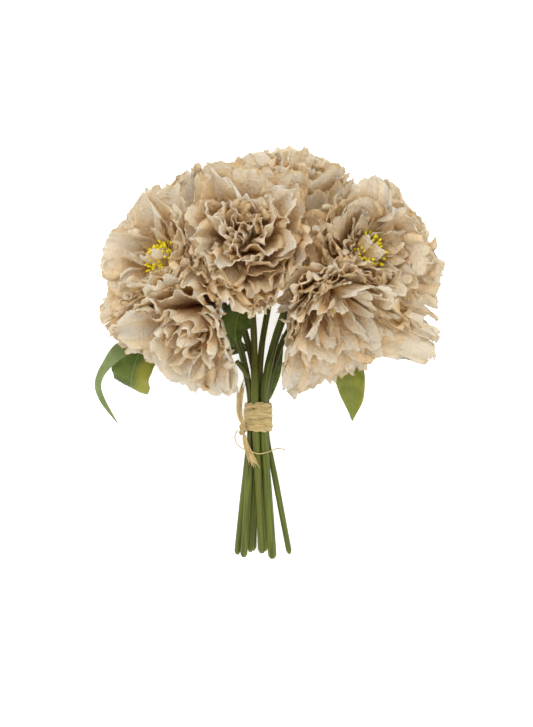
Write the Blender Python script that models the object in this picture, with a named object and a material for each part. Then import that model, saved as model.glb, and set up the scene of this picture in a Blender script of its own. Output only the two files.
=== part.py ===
"""A tied bunch of eight double peonies with their leaves, lying on a table as it would when put down.

The bunch is laid out in its own frame, the bunch frame: x to the right, y from the cut stem ends towards
the flowers, z towards the side that faces up. An empty then turns that frame about x, because the wide
flower heads lift the stems, and sets the lowest petals and stem ends on the table at z = 0.
Every flower is a stem, a calyx, a bowl of guard petals, a ruff of inner petals and a tuft of stamens.
Side shoots carry the leaves, and a raffia tie with a knot, two tails and a loose fibre holds the stems.
The heads are crowded: each one is pressed flat where it meets its neighbours and the table.
"""

import math

import bmesh
import bpy
from mathutils import Matrix, Vector

MM = 0.001

# How the bunch lies
REST_TILT = math.radians(17.5)
TABLE_BELOW_CUT_ENDS = 13.4 * MM

# The tie, measured along the bunch
TIE_MIDDLE = 108 * MM
TIE_LENGTH = 22 * MM
TIE_THICKNESS = 1.3 * MM
BUNDLE_RADIUS = 6.7 * MM
FIT_GAP = 0.35 * MM

# One flower, in its own frame: z is the way it faces, and its petals start at the origin
STEM_RADIUS = 2.7 * MM
TUBE_SIDES_SETTING = 2
PETAL_SEGMENTS = 20
GUARD_PETALS = 7
RUFF_FOLDS = 9
PRESS_DEPTH = 24 * MM
PRESS_SHARE = 0.45
HEART_HEIGHT = 20 * MM
PETAL_WALL = 2.6 * MM
CALYX_DEPTH = 11.8 * MM

# name: (where its petals start, the way it faces, the cut end of its stem, its place in the tie), in mm.
# The place in the tie is an angle about the bunch's middle, or None for the stem in the middle.
PEONIES = {
    "left": ((-60, 223, 20), (-0.64, 0.24, 0.73), (-16.0, 3.0, 0.5), 206),
    "right": ((74, 229, 19), (0.42, 0.12, 0.90), (24.0, 3.5, 1.0), 0),
    "front": ((-8, 238, 42), (0.00, 0.32, 0.95), (3.0, 4.5, 7.0), 103),
    "low_left": ((-40, 190, 31), (-0.34, -0.56, 0.75), (-11.0, 1.5, 7.0), 154),
    "low_right": ((51, 204, 31), (0.38, -0.60, 0.70), (11.0, 0.5, 9.0), 51),
    "top": ((22, 262, -2), (0.12, 0.94, 0.32), (-6.0, 5.0, 0.0), None),
    "back_left": ((-44, 234, -24), (-0.38, 0.42, -0.82), (-4.0, 5.0, -12.0), 257),
    "back_right": ((46, 228, -26), (0.35, 0.25, -0.90), (5.0, 4.5, -11.8), 309),
}

LEAF_THICKNESS = 0.9 * MM

# Leaf blades as (where the blade starts, the points it bends through, its tip, half width), in mm
LEAVES = {
    "long_left": ((-83.8, 166.9, -1.9), (-115, 156, 13), (-108, 105, 6), 5.5),
    "broad_left": ((-83.9, 163.8, -5.8), (-96, 147, -6), (-100, 129, -16), 15.0),
    "right": ((69.6, 160.4, -4.6), (72, 140, 5), (73, 105, 0), 11.0),
    "middle": ((-6.2, 203, 12.7), (-10, 188, 26), (-19, 164, 29), 11.0),
    "stem_right": ((8.4, 123.6, -7.0), (16, 146, -10), (25, 172, -13), 4.0),
    "back": ((-7.9, 160, -9.0), (-30, 163, -24), (-56, 152, -33), 10.0),
}

# Side shoots as (the points they pass through, radius), in mm. The stub is a shoot that was cut off.
SHOOTS = {
    "leaf_shoot_left": ([(-20.6, 171.2, -6), (-40, 171.4, -5), (-62, 169.5, -4), (-83, 165.4, -4)], 1.3),
    "leaf_shoot_right": ([(26.4, 173.4, -4.6), (40, 168.6, -5), (55, 165.8, -5), (68, 162, -4.6)], 1.3),
    "cut_side_shoot": ([(-14.3, 141, 4.8), (-16.2, 146.4, 6.2), (-18.6, 152, 7)], 1.7),
}

# The knot of the tie, its two tails of split raffia, and one loose fibre, in mm
KNOT = (-11.6, 98.0, 8.8)
TAIL_UP = [(-11.4, 102.7, 9.4), (-13.6, 110, 8.6), (-14.2, 120, 8.2), (-13.0, 130, 8.6), (-10.6, 139, 9.6)]
TAIL_DOWN = [(-9.9, 93.6, 9.8), (-8.6, 87, 11.2), (-6.2, 80, 11.6), (-3.4, 73, 11.6), (-1.6, 68, 11.6)]
FIBRE_RADIUS = 0.4 * MM
FIBRE = [
    (-15.7, 98.2, 9.4),
    (-17.6, 93.6, 9.6),
    (-16.4, 88.4, 10.8),
    (-12.2, 84.6, 12.8),
    (-6.4, 82.6, 13.9),
    (0.4, 80.4, 10.6),
    (7.4, 81.6, 9.4),
    (14.4, 84.2, 8.6),
    (20.6, 83.4, 7.8),
]

COLOURS = {
    "guard_petals": ((0.72, 0.60, 0.47), 0.8),
    "inner_petals": ((0.76, 0.66, 0.53), 0.8),
    "stamens": ((0.80, 0.66, 0.04), 0.7),
    "calyx": ((0.16, 0.24, 0.07), 0.6),
    "stem": ((0.13, 0.20, 0.06), 0.5),
    "leaf": ((0.12, 0.22, 0.05), 0.5),
    "raffia": ((0.62, 0.48, 0.26), 0.8),
}


def clear_scene():
    for thing in list(bpy.data.objects):
        bpy.data.objects.remove(thing)


def make_materials():
    """One material for each kind of sub-part."""
    made = {}
    for name, (colour, roughness) in COLOURS.items():
        material = bpy.data.materials.new(name)
        material.use_nodes = True
        shader = material.node_tree.nodes["Principled BSDF"]
        shader.inputs["Base Color"].default_value = (*colour, 1.0)
        shader.inputs["Roughness"].default_value = roughness
        shader.inputs["Metallic"].default_value = 0.0
        made[name] = material
    return made


def add_object(name, data, material, bunch):
    """An object in the bunch frame, which the empty carries to the table."""
    data.materials.append(material)
    made = bpy.data.objects.new(name, data)
    bpy.context.scene.collection.objects.link(made)
    made.parent = bunch
    return made


def closed_mesh(name, rings, first_tip, last_tip):
    """A closed solid through rings of points, from one tip to the other."""
    bm = bmesh.new()
    loops = [[bm.verts.new(point) for point in ring] for ring in rings]
    start, end = bm.verts.new(first_tip), bm.verts.new(last_tip)
    count = len(loops[0])
    for i in range(count):
        j = (i + 1) % count
        bm.faces.new((start, loops[0][j], loops[0][i]))
        for lower, upper in zip(loops, loops[1:]):
            bm.faces.new((lower[i], lower[j], upper[j], upper[i]))
        bm.faces.new((end, loops[-1][i], loops[-1][j]))
    bmesh.ops.recalc_face_normals(bm, faces=bm.faces)
    data = bpy.data.meshes.new(name)
    bm.to_mesh(data)
    bm.free()
    data.shade_smooth()
    data.set_sharp_from_angle(angle=math.radians(50))
    return data


def bezier(start, start_handle, end_handle, end, share):
    """The point at that share of a cubic curve."""
    back = 1 - share
    return (
        start * back**3
        + start_handle * 3 * back**2 * share
        + end_handle * 3 * back * share**2
        + end * share**3
    )


def smooth_route(points, per_span):
    """A smooth curve through the points, as a list of places."""
    places = [Vector(p) * MM for p in points]
    route = []
    for i in range(len(places) - 1):
        before, here = places[max(i - 1, 0)], places[i]
        there, after = places[i + 1], places[min(i + 2, len(places) - 1)]
        leaving = here + (there - before) / 6
        arriving = there - (after - here) / 6
        for k in range(per_span):
            route.append(bezier(here, leaving, arriving, there, k / per_span))
    return route + [places[-1]]


def tube(name, route, radius):
    """A round solid along a route, as a curve with a bevel and filled ends."""
    curve = bpy.data.curves.new(name, "CURVE")
    curve.dimensions = "3D"
    curve.bevel_depth = radius
    curve.bevel_resolution = TUBE_SIDES_SETTING
    curve.use_fill_caps = True
    spline = curve.splines.new("POLY")
    spline.points.add(len(route) - 1)
    for point, place in zip(spline.points, route):
        point.co = (*place, 1.0)
    return curve


# Where things are


def peony_frame(name):
    """The matrix from a flower's own frame to the bunch frame."""
    base, facing, _, _ = PEONIES[name]
    turn = Vector(facing).to_track_quat("Z", "Y").to_matrix().to_4x4()
    return Matrix.Translation(Vector(base) * MM) @ turn


def heart(name):
    """The middle of a flower's head, in the bunch frame."""
    return peony_frame(name) @ Vector((0, 0, HEART_HEIGHT))


def table_height(point):
    """How far a point of the bunch frame is above the table."""
    up = Vector((0, math.sin(REST_TILT), math.cos(REST_TILT)))
    return point.dot(up) + TABLE_BELOW_CUT_ENDS * math.cos(REST_TILT)


def pressed(depth):
    """How far inside its own space a point ends up, for how far inside it would be if nothing pressed."""
    if depth > PRESS_DEPTH:
        return depth
    return PRESS_DEPTH - (PRESS_DEPTH - depth) * PRESS_SHARE


def press(name, point, layer):
    """Moves a point of a head out of its neighbours and the table. A deeper layer keeps further in."""
    middle = heart(name)
    up = Vector((0, math.sin(REST_TILT), math.cos(REST_TILT)))
    for other in PEONIES:
        if other == name:
            continue
        across = heart(other) - middle
        away = across.normalized()
        depth = across.length / 2 - (point - middle).dot(away)
        moved = max(pressed(depth), layer + FIT_GAP)
        point = point - away * (moved - depth)
    depth = table_height(point)
    return point + up * (max(depth, layer) - depth)


# The parts of a flower


def head_rings(name, profile, folds, fold_depth, layer):
    """Rings of a turned profile of (radius, height, share of the wave) in mm, pressed by the neighbours."""
    place = peony_frame(name)
    rings = []
    for radius, height, wave in profile:
        ring = []
        for i in range(PETAL_SEGMENTS):
            angle = 2 * math.pi * i / PETAL_SEGMENTS
            swell = 1 + wave * fold_depth * math.cos(folds * angle)
            out = radius * swell * MM
            own = Vector((out * math.cos(angle), out * math.sin(angle), height * MM))
            ring.append(press(name, place @ own, layer))
        rings.append(ring)
    return rings


def guard_bowl(name):
    """The outer petals as one bowl with a scalloped rim: out over the lip, then back down the inside."""
    outside = [(12, 0.6, 0), (30, 6, 0.2), (47, 18, 0.6), (57, 36, 1), (53, 37, 1)]
    inside = [(43.5, 20.5, 0.6), (27.5, 9, 0.2), (11, 3.6, 0)]
    rings = head_rings(name, outside, GUARD_PETALS, 0.06, 0.0)
    rings += head_rings(name, inside, GUARD_PETALS, 0.06, PETAL_WALL * 0.5)
    place = peony_frame(name)
    return closed_mesh(name, rings, place @ Vector((0, 0, 0)), place @ Vector((0, 0, 3 * MM)))


def inner_ruff(name):
    """The inner petals as one ruff that fills the bowl and leaves a well in its middle."""
    outside = [(10, 4.8, 0), (25, 11.5, 0.1), (39, 24, 0.3), (45, 39, 0.6)]
    inside = [(41, 50, 1), (28, 48, 1), (17, 34, 0.6), (11, 12, 0)]
    rings = head_rings(name, outside, RUFF_FOLDS, 0.07, PETAL_WALL * 0.5 + 2.0 * MM)
    rings += head_rings(name, inside, RUFF_FOLDS, 0.07, PETAL_WALL + 2.4 * MM)
    place = peony_frame(name)
    return closed_mesh(name, rings, place @ Vector((0, 0, 4 * MM)), place @ Vector((0, 0, 11 * MM)))


def stamen_tuft(name):
    """The stamens as one tuft that stands in the ruff's well."""
    place = peony_frame(name)
    profile = [(6, 12.6, 0), (8, 18, 0), (7.5, 25, 0), (4, 28, 0)]
    rings = head_rings(name, profile, 5, 0, PETAL_WALL + 3 * MM)
    return closed_mesh(
        name, rings, place @ Vector((0, 0, 12 * MM)), place @ Vector((0, 0, 28.4 * MM))
    )


def calyx(name):
    """The green cup of five sepals that holds the petals, with a socket's length of stalk below."""
    place = peony_frame(name)
    profile = [(3.2, -11.5, 0), (5.2, -8, 0.1), (9, -3.6, 0.25), (11.5, -1.2, 0.35)]
    count = 15
    rings = []
    for radius, height, wave in profile:
        ring = []
        for i in range(count):
            angle = 2 * math.pi * i / count
            out = radius * (1 + wave * math.cos(5 * angle)) * MM
            own = Vector((out * math.cos(angle), out * math.sin(angle), height * MM))
            ring.append(place @ own)
        rings.append(ring)
    return closed_mesh(
        name, rings, place @ Vector((0, 0, -CALYX_DEPTH)), place @ Vector((0, 0, -FIT_GAP))
    )


def tie_place(angle):
    """Where a stem passes through the tie, as (x, z)."""
    if angle is None:
        return 0.0, 0.0
    turn = math.radians(angle)
    return BUNDLE_RADIUS * math.cos(turn), BUNDLE_RADIUS * math.sin(turn)


def stem_route(name):
    """From the cut end, straight through the tie, then curving out to the calyx."""
    _, facing, cut_end, angle = PEONIES[name]
    x, z = tie_place(angle)
    below = Vector((x, TIE_MIDDLE - 0.62 * TIE_LENGTH, z))
    above = Vector((x, TIE_MIDDLE + 0.62 * TIE_LENGTH, z))
    end = peony_frame(name) @ Vector((0, 0, -CALYX_DEPTH - 2 * FIT_GAP))
    reach = (end - above).length
    leaving = above + Vector((x, 60 * MM, z)).normalized() * reach * 0.45
    arriving = end - Vector(facing).normalized() * reach * 0.3
    start = Vector(cut_end) * MM
    lower = [start.lerp(below, i / 3) for i in range(3)]
    upper = [bezier(above, leaving, arriving, end, i / 8) for i in range(9)]
    return lower + [below] + upper


# Leaves


def leaf_blade(name):
    """A pointed blade that bends through three points, a little folded along its midrib."""
    start, middle, tip, half_width = LEAVES[name]
    start, middle, tip = (Vector(p) * MM for p in (start, middle, tip))
    handle = middle * 2 - (start + tip) / 2
    steps, across = 8, 4
    bm = bmesh.new()
    rows = []
    for i in range(steps + 1):
        share = i / steps
        place = start.lerp(handle, share).lerp(handle.lerp(tip, share), share)
        along = ((handle - start).lerp(tip - handle, share)).normalized()
        side = along.cross(Vector((0, 0, 1))).normalized()
        face = side.cross(along).normalized()
        width = half_width * MM * (0.16 + 0.92 * math.sin(math.pi * share**0.8) ** 0.9) * (1 - 0.12 * share)
        row = []
        for j in range(across + 1):
            t = 2 * j / across - 1
            row.append(bm.verts.new(place + side * width * t + face * width * 0.25 * abs(t)))
        rows.append(row)
    for lower, upper in zip(rows, rows[1:]):
        for j in range(across):
            bm.faces.new((lower[j], lower[j + 1], upper[j + 1], upper[j]))
    bmesh.ops.recalc_face_normals(bm, faces=bm.faces)
    data = bpy.data.meshes.new(name)
    bm.to_mesh(data)
    bm.free()
    return data


def thicken(thing, thickness):
    modifier = thing.modifiers.new("thickness", "SOLIDIFY")
    modifier.thickness = thickness
    modifier.offset = 0.0


# The tie


def tie_band():
    """The wound raffia as one ring around the stems."""
    inner = BUNDLE_RADIUS + STEM_RADIUS + FIT_GAP
    outer = inner + TIE_THICKNESS
    half = TIE_LENGTH / 2
    count = 24
    outline = [(inner, -half), (outer, -half), (outer + 0.4 * MM, 0), (outer, half), (inner, half)]
    bm = bmesh.new()
    loops = []
    for i in range(count):
        angle = 2 * math.pi * i / count
        loops.append(
            [
                bm.verts.new((r * math.cos(angle), TIE_MIDDLE + h, r * math.sin(angle)))
                for r, h in outline
            ]
        )
    for i in range(count):
        here, there = loops[i], loops[(i + 1) % count]
        for k in range(len(outline)):
            m = (k + 1) % len(outline)
            bm.faces.new((here[k], here[m], there[m], there[k]))
    bmesh.ops.recalc_face_normals(bm, faces=bm.faces)
    data = bpy.data.meshes.new("tie_band")
    bm.to_mesh(data)
    bm.free()
    return data


def flat_strand(name, route, half_width, half_thickness):
    """A tapering flat bundle of fibres along a route."""
    route = [Vector(p) * MM for p in route]
    count = len(route)
    rings = []
    for i, place in enumerate(route):
        along = (route[min(i + 1, count - 1)] - route[max(i - 1, 0)]).normalized()
        side = along.cross(Vector((0.3, 0, 1))).normalized()
        face = side.cross(along)
        ring = []
        for k in range(8):
            turn = 2 * math.pi * k / 8
            ring.append(
                place
                + side * half_width * MM * math.cos(turn)
                + face * half_thickness * MM * math.sin(turn)
            )
        rings.append(ring)
    first, last = route[0], route[-1]
    return closed_mesh(
        name, rings, first + (first - route[1]) * 0.05, last + (last - route[-2]) * 0.1
    )


def knot():
    """The raffia knot, as a lump on the band's side."""
    middle = Vector(KNOT) * MM
    bm = bmesh.new()
    bmesh.ops.create_icosphere(bm, subdivisions=2, radius=1.0)
    for vert in bm.verts:
        vert.co = Vector((vert.co.x * 3.6, vert.co.y * 4.0, vert.co.z * 3.0)) * MM + middle
    data = bpy.data.meshes.new("tie_knot")
    bm.to_mesh(data)
    bm.free()
    return data


def settle(bunch, pieces):
    """Sets the origin at the table, under the middle of the whole object."""
    graph = bpy.context.evaluated_depsgraph_get()
    low, high = Vector((1e9, 1e9, 1e9)), Vector((-1e9, -1e9, -1e9))
    for piece in pieces:
        evaluated = piece.evaluated_get(graph)
        mesh = evaluated.to_mesh()
        for vert in mesh.vertices:
            place = evaluated.matrix_world @ vert.co
            low = Vector(map(min, low, place))
            high = Vector(map(max, high, place))
        evaluated.to_mesh_clear()
    bunch.location.x -= (low.x + high.x) / 2
    bunch.location.y -= (low.y + high.y) / 2


def main():
    clear_scene()
    materials = make_materials()
    bunch = bpy.data.objects.new("bunch", None)
    bpy.context.scene.collection.objects.link(bunch)
    bunch.rotation_euler.x = REST_TILT
    bunch.location.z = TABLE_BELOW_CUT_ENDS * math.cos(REST_TILT)
    pieces = []
    for name in PEONIES:
        flower = (
            ("stem", tube(name, stem_route(name), STEM_RADIUS)),
            ("calyx", calyx(name)),
            ("guard_petals", guard_bowl(name)),
            ("inner_petals", inner_ruff(name)),
            ("stamens", stamen_tuft(name)),
        )
        for part, data in flower:
            pieces.append(add_object(f"{name}_peony_{part}", data, materials[part], bunch))
    for name in LEAVES:
        leaf = add_object(f"leaf_{name}", leaf_blade(name), materials["leaf"], bunch)
        thicken(leaf, LEAF_THICKNESS)
        pieces.append(leaf)
    for name, (points, radius) in SHOOTS.items():
        shoot = tube(name, smooth_route(points, 4), radius * MM)
        pieces.append(add_object(name, shoot, materials["stem"], bunch))
    raffia = materials["raffia"]
    pieces.append(add_object("tie_band", tie_band(), raffia, bunch))
    pieces.append(add_object("tie_knot", knot(), raffia, bunch))
    for name, route in (("tie_tail_up", TAIL_UP), ("tie_tail_down", TAIL_DOWN)):
        pieces.append(add_object(name, flat_strand(name, route, 2.35, 1.25), raffia, bunch))
    fibre = tube("tie_fibre", smooth_route(FIBRE, 4), FIBRE_RADIUS)
    pieces.append(add_object("tie_fibre", fibre, raffia, bunch))
    bpy.context.view_layer.update()
    settle(bunch, pieces)


main()
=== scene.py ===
"""The looks of a tied bunch of peonies with crinkled cream petals, green stems and a raffia tie.

Everything is laid out in the bunch frame: x to the right, y from the cut stem ends towards the flowers,
z towards the side that faces up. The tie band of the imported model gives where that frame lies.
Petals are sheets of cloth: each one is drawn smooth in its flower's own frame, pressed against the
neighbouring heads, ruffled along its margin, and then crumpled and thickened.
"""

import math

import bmesh
import bpy
import numpy as np
from mathutils import Matrix, Vector
from mathutils.bvhtree import BVHTree


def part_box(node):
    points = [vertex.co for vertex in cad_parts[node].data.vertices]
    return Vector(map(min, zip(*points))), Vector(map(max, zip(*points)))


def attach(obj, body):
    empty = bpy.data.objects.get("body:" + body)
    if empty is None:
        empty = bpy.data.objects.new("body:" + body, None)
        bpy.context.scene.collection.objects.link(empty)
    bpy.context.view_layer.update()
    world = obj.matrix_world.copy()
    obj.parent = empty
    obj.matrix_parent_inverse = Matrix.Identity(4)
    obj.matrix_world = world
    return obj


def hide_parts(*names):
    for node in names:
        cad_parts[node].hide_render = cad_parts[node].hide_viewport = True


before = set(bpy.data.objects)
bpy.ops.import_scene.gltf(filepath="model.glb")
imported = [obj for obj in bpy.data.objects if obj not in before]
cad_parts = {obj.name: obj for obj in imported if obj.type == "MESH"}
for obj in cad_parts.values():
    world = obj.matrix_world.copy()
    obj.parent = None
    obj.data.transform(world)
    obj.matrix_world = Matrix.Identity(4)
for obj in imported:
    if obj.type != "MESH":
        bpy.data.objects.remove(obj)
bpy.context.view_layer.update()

MM = 0.001
CM = 0.01

# How the bunch lies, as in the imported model
REST_TILT = math.radians(17.5)
TIE_MIDDLE = 108 * MM
CAD_TUBE_SIDES = 8
STAMEN_FOOT = 12 * MM
STAMEN_BED_RADIUS = 9 * MM
STAMEN_BED_SPREAD = 0.75
LEAF_THICKNESS = 0.5 * MM
HEART_HEIGHT = 20 * MM
FLOWERS = ("left", "right", "front", "low_left", "low_right", "top", "back_left", "back_right")

# Petal cloth. WIDEST is the share of a petal's length at which it is widest. CRIMP_WIDTH, ROLL_WIDTH and
# HEM_WIDTH are how far in the crimp, the roll, and the painted highlight and the tan of its margin reach.
# LAYOUT_STEP is how far apart the flat layouts of petals lie, in metres for each radian round the flower.
CLOTH_THICKNESS = 0.24 * MM
WIDEST = 0.7
CRIMP_WIDTH = 3.5 * MM
ROLL_WIDTH = 4.5 * MM
HEM_WIDTH = 2.8 * MM
PLEAT_DEPTH = 0.3 * MM
LAYOUT_STEP = 0.07

# How petals give way. A reach is how far from its limit a petal feels it, and a softness how gently.
PRESS_REACH = 22 * MM
PRESS_SOFTNESS = 20 * MM
NEIGHBOUR_GAP = 0.5 * MM
TABLE_CLEARANCE = 1.7 * MM
TABLE_REACH = 10 * MM
CURB_REACH = 8 * MM

# The two low flowers leave the stems and the outer leaves bare. Each curb is a side, 1 for the right and
# -1 for the left, and how far petals may reach that way at some places along the bunch, in mm.
CURBS = {
    "low_left": (
        (1, ((120, -16), (140, -15), (150, -18), (163, -21), (182, -29), (196, -25), (212, -10), (230, 5))),
        (-1, ((120, -76), (148, -80), (154, -92), (158, -112), (164, -140))),
    ),
    "low_right": ((-1, ((120, 12), (150, 11), (175, 14), (190, 11), (205, 6), (225, -5))),),
}

# The outline that the dome of flowers fills, seen from above the lying bunch: points across and along, in mm.
# Every petal stays inside it, or passes it, by an amount within DOME_STRAY, in mm.
DOME_MIDDLE = (5, 215)
DOME_OUTLINE = (
    (-116, 174), (-111, 166.5), (-81, 151.5), (-62, 140), (-40, 127), (-21, 129), (31.5, 125), (54, 127.5),
    (84, 136.5), (125, 144), (136.5, 166.5), (138.8, 204), (129, 245), (106.5, 275), (65, 298), (50, 305),
    (9, 309), (-24.8, 303), (-51, 297.8), (-86, 279), (-111, 252.8), (-120.8, 226.5),
)
DOME_REACH = 6 * MM
DOME_SOFTNESS = 9 * MM
DOME_STRAY = (-5, 3)

# How shut in a place between the petals is: rays that look for other petals, from near to far. It sets where
# painted shade darkens the petals' colour and where painted light pales it. Each petal is met as a coarse
# grid, and looks out from one that is coarser still.
SHUT_IN_RAYS = 14
SHUT_IN_NEAR = 1.5 * MM
SHUT_IN_FAR = 32 * MM
SHUT_IN_MET = (10, 10)
SHUT_IN_LOOKS = (8, 7)


# Where things are


def bunch_matrix():
    """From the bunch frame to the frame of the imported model."""
    low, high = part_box("tie_band")
    turn = Matrix.Rotation(REST_TILT, 4, "X")
    shift = (low + high) / 2 - turn @ Vector((0, TIE_MIDDLE, 0))
    return Matrix.Translation(shift) @ turn


BUNCH = bunch_matrix()
BUNCH_INVERSE = BUNCH.inverted()
UP = np.array(BUNCH_INVERSE.to_3x3() @ Vector((0, 0, 1)))
TABLE_OFFSET = (BUNCH @ Vector((0, 0, 0))).z


def node_points(name):
    """The separate vertices of a CAD node, in the bunch frame."""
    points = np.array([BUNCH_INVERSE @ v.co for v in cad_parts[name].data.vertices])
    return np.unique(np.round(points, 6), axis=0)


def flower_matrix(name):
    """From a flower's own frame to the bunch frame: z is the way it faces, its petals start at the origin."""
    threads = node_points(f"{name}_peony_stamens")
    cup = node_points(f"{name}_peony_calyx")
    axis = Vector(threads.mean(0) - cup.mean(0)).normalized()
    foot = (threads @ np.array(axis)).min() - STAMEN_FOOT
    middle = Vector(cup.mean(0))
    base = middle + axis * (foot - middle.dot(axis))
    return Matrix.Translation(base) @ axis.to_track_quat("Z", "Y").to_matrix().to_4x4()


PLACES = {name: flower_matrix(name) for name in FLOWERS}
HEARTS = {name: np.array(PLACES[name] @ Vector((0, 0, HEART_HEIGHT))) for name in FLOWERS}


def moved(matrix, points):
    """Points of any array shape, moved by a matrix."""
    matrix = np.array(matrix)
    return points @ matrix[:3, :3].T + matrix[:3, 3]


def pushed_back(depth, reach, softness, least):
    """How far inside a limit things end up, for how far inside they would be if nothing pressed on them."""
    kept = reach * np.exp(np.minimum(depth - reach, 0) / softness)
    return np.where(depth < reach, np.maximum(least + kept, depth), depth)


def dome_limit(way):
    """How far from the dome's middle its outline is, for ways out from there."""
    ways = np.array(DOME_OUTLINE) - DOME_MIDDLE
    angles = np.degrees(np.arctan2(ways[:, 1], ways[:, 0]))
    here = np.degrees(np.arctan2(way[..., 1], way[..., 0]))
    return np.interp(here, angles, np.linalg.norm(ways, axis=1) * MM, period=360)


def press(name, points, give=0.0, spare=0.0):
    """Bends the points of a flower away from its neighbours' space, the outside of the dome, the stems and
    the table. give is how far this petal may reach past the middle between two heads, and spare how far
    inside the outline it stays."""
    points = points.copy()
    for other in FLOWERS:
        if other == name:
            continue
        across = HEARTS[other] - HEARTS[name]
        half = np.linalg.norm(across) / 2
        away = across / (2 * half)
        depth = half + give - (points - HEARTS[name]) @ away
        points -= away * (pushed_back(depth, PRESS_REACH, PRESS_SOFTNESS, NEIGHBOUR_GAP) - depth)[..., None]
    middle = np.array(DOME_MIDDLE) * MM
    way = points[..., :2] - middle
    limit, radius = dome_limit(way) - spare, np.linalg.norm(way, axis=-1)
    kept = limit - pushed_back(limit - radius, DOME_REACH, DOME_SOFTNESS, 0.0)
    points[..., :2] = middle + way * (kept / radius)[..., None]
    for side, curb in CURBS.get(name, ()):
        far, aside = np.array(curb).T * MM
        depth = (np.interp(points[..., 1], far, aside) - points[..., 0]) * side
        points[..., 0] -= side * (pushed_back(depth, CURB_REACH, CURB_REACH, 0.0) - depth)
    height = points @ UP + TABLE_OFFSET
    depth = height - TABLE_CLEARANCE
    points += UP * (pushed_back(depth, TABLE_REACH, TABLE_REACH, 0.0) - depth)[..., None]
    return points


# Meshes


def link(thing):
    """Puts an object in the scene."""
    bpy.context.scene.collection.objects.link(thing)
    return thing


class Shapes:
    """Points, faces and looks of many small shapes in the bunch frame, on their way into one mesh."""

    def __init__(self):
        self.points, self.faces, self.flat, self.looks, self.total = [], [], [], {}, 0

    def add(self, points, quads, caps=(), flat=None, **looks):
        self.points.append(moved(BUNCH, points).reshape(-1, 3))
        self.faces += (np.asarray(quads) + self.total).tolist()
        self.faces += [[corner + self.total for corner in cap] for cap in caps]
        count = len(self.points[-1])
        self.flat.append(np.zeros((count, 2)) if flat is None else flat.reshape(-1, 2))
        for key, value in looks.items():
            self.looks.setdefault(key, []).append(np.broadcast_to(value, points.shape[:-1]).reshape(-1))
        self.total += count

    def mesh(self, name, material=None):
        data = bpy.data.meshes.new(name)
        data.from_pydata(np.concatenate(self.points).tolist(), [], self.faces)
        for key, values in self.looks.items():
            layer = data.attributes.new(key, "FLOAT", "POINT")
            layer.data.foreach_set("value", np.concatenate(values).astype(np.float32))
        corner = np.empty(len(data.loops), np.int32)
        data.loops.foreach_get("vertex_index", corner)
        uv = data.uv_layers.new(name="sheet")
        uv.data.foreach_set("uv", (np.concatenate(self.flat)[corner] / CM).astype(np.float32).reshape(-1))
        if material:
            data.materials.append(material)
        data.shade_smooth()
        return data

    def object(self, name, material=None):
        return link(bpy.data.objects.new(name, self.mesh(name, material)))


def grid_faces(rows, columns):
    """Quads of a grid of points that are listed row by row."""
    i, j = np.meshgrid(np.arange(rows - 1), np.arange(columns - 1), indexing="ij")
    a = i * columns + j
    return np.stack([a, a + 1, a + columns + 1, a + columns], -1).reshape(-1, 4)


def tube_faces(rings, around, joined=False):
    """Quads between rings of points, and the two end caps unless the last ring joins the first."""
    steps = rings if joined else rings - 1
    i, k = np.meshgrid(np.arange(steps), np.arange(around), indexing="ij")
    here, there, turn = i * around, (i + 1) % rings * around, (k + 1) % around
    quads = np.stack([here + k, here + turn, there + turn, there + k], -1).reshape(-1, 4)
    last = (rings - 1) * around
    caps = [] if joined else [list(range(around))[::-1], list(range(last, last + around))]
    return quads, caps


def smooth_route(points, per_span):
    """A smooth curve through places given in mm, as an array of places in metres."""
    places = np.array(points, float) * MM
    share = (np.arange(per_span) / per_span)[:, None]
    back = 1 - share
    spans = []
    for i in range(len(places) - 1):
        before, here = places[max(i - 1, 0)], places[i]
        there, after = places[i + 1], places[min(i + 2, len(places) - 1)]
        leaving, arriving = here + (there - before) / 6, there - (after - here) / 6
        spans.append(
            here * back**3 + leaving * 3 * back**2 * share + arriving * 3 * back * share**2 + there * share**3
        )
    return np.concatenate(spans + [places[-1:]])


def lengths_along(route):
    """How far along a route each of its places is."""
    return np.concatenate([[0], np.cumsum(np.linalg.norm(np.diff(route, axis=0), axis=1))])


def resampled(route, count):
    """The same route as evenly spaced places."""
    far = lengths_along(route)
    even = np.linspace(0, far[-1], count)
    return np.stack([np.interp(even, far, route[:, k]) for k in range(3)], -1)


def frames_along(route, side):
    """The directions along, to the side and out of the face at each place of a route."""
    along = unit(np.gradient(route, axis=0))
    sides = []
    for direction in along:
        side = unit(side - direction * (side @ direction))
        sides.append(side)
    sides = np.array(sides)
    return along, sides, np.cross(along, sides)


def turns_round(count):
    """Angles that are evenly spaced all the way round."""
    return 2 * math.pi * np.arange(count) / count


def unit(vectors):
    """The same directions, one metre long."""
    return vectors / np.maximum(np.linalg.norm(vectors, axis=-1, keepdims=True), 1e-12)


def add_tube(shapes, route, wide, thick, around=8, side=(1.0, 0.0, 0.0), **looks):
    """Adds a closed tube. wide and thick are its half sizes, each a number or one for every place."""
    _, sides, faces = frames_along(route, np.array(side))
    turn = turns_round(around)
    across = np.outer(np.broadcast_to(wide, len(route)), np.cos(turn))
    out = np.outer(np.broadcast_to(thick, len(route)), np.sin(turn))
    points = route[:, None] + sides[:, None] * across[..., None] + faces[:, None] * out[..., None]
    far = np.broadcast_to(lengths_along(route)[:, None], across.shape)
    quads, caps = tube_faces(len(route), around)
    shapes.add(points, quads, caps, np.stack([across, far], -1), **looks)


def finish_piece(piece, slot, node):
    """Puts the piece on the root body and hides the CAD node it stands for. slot is not used."""
    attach(piece, "root")
    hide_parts(node)


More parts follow.
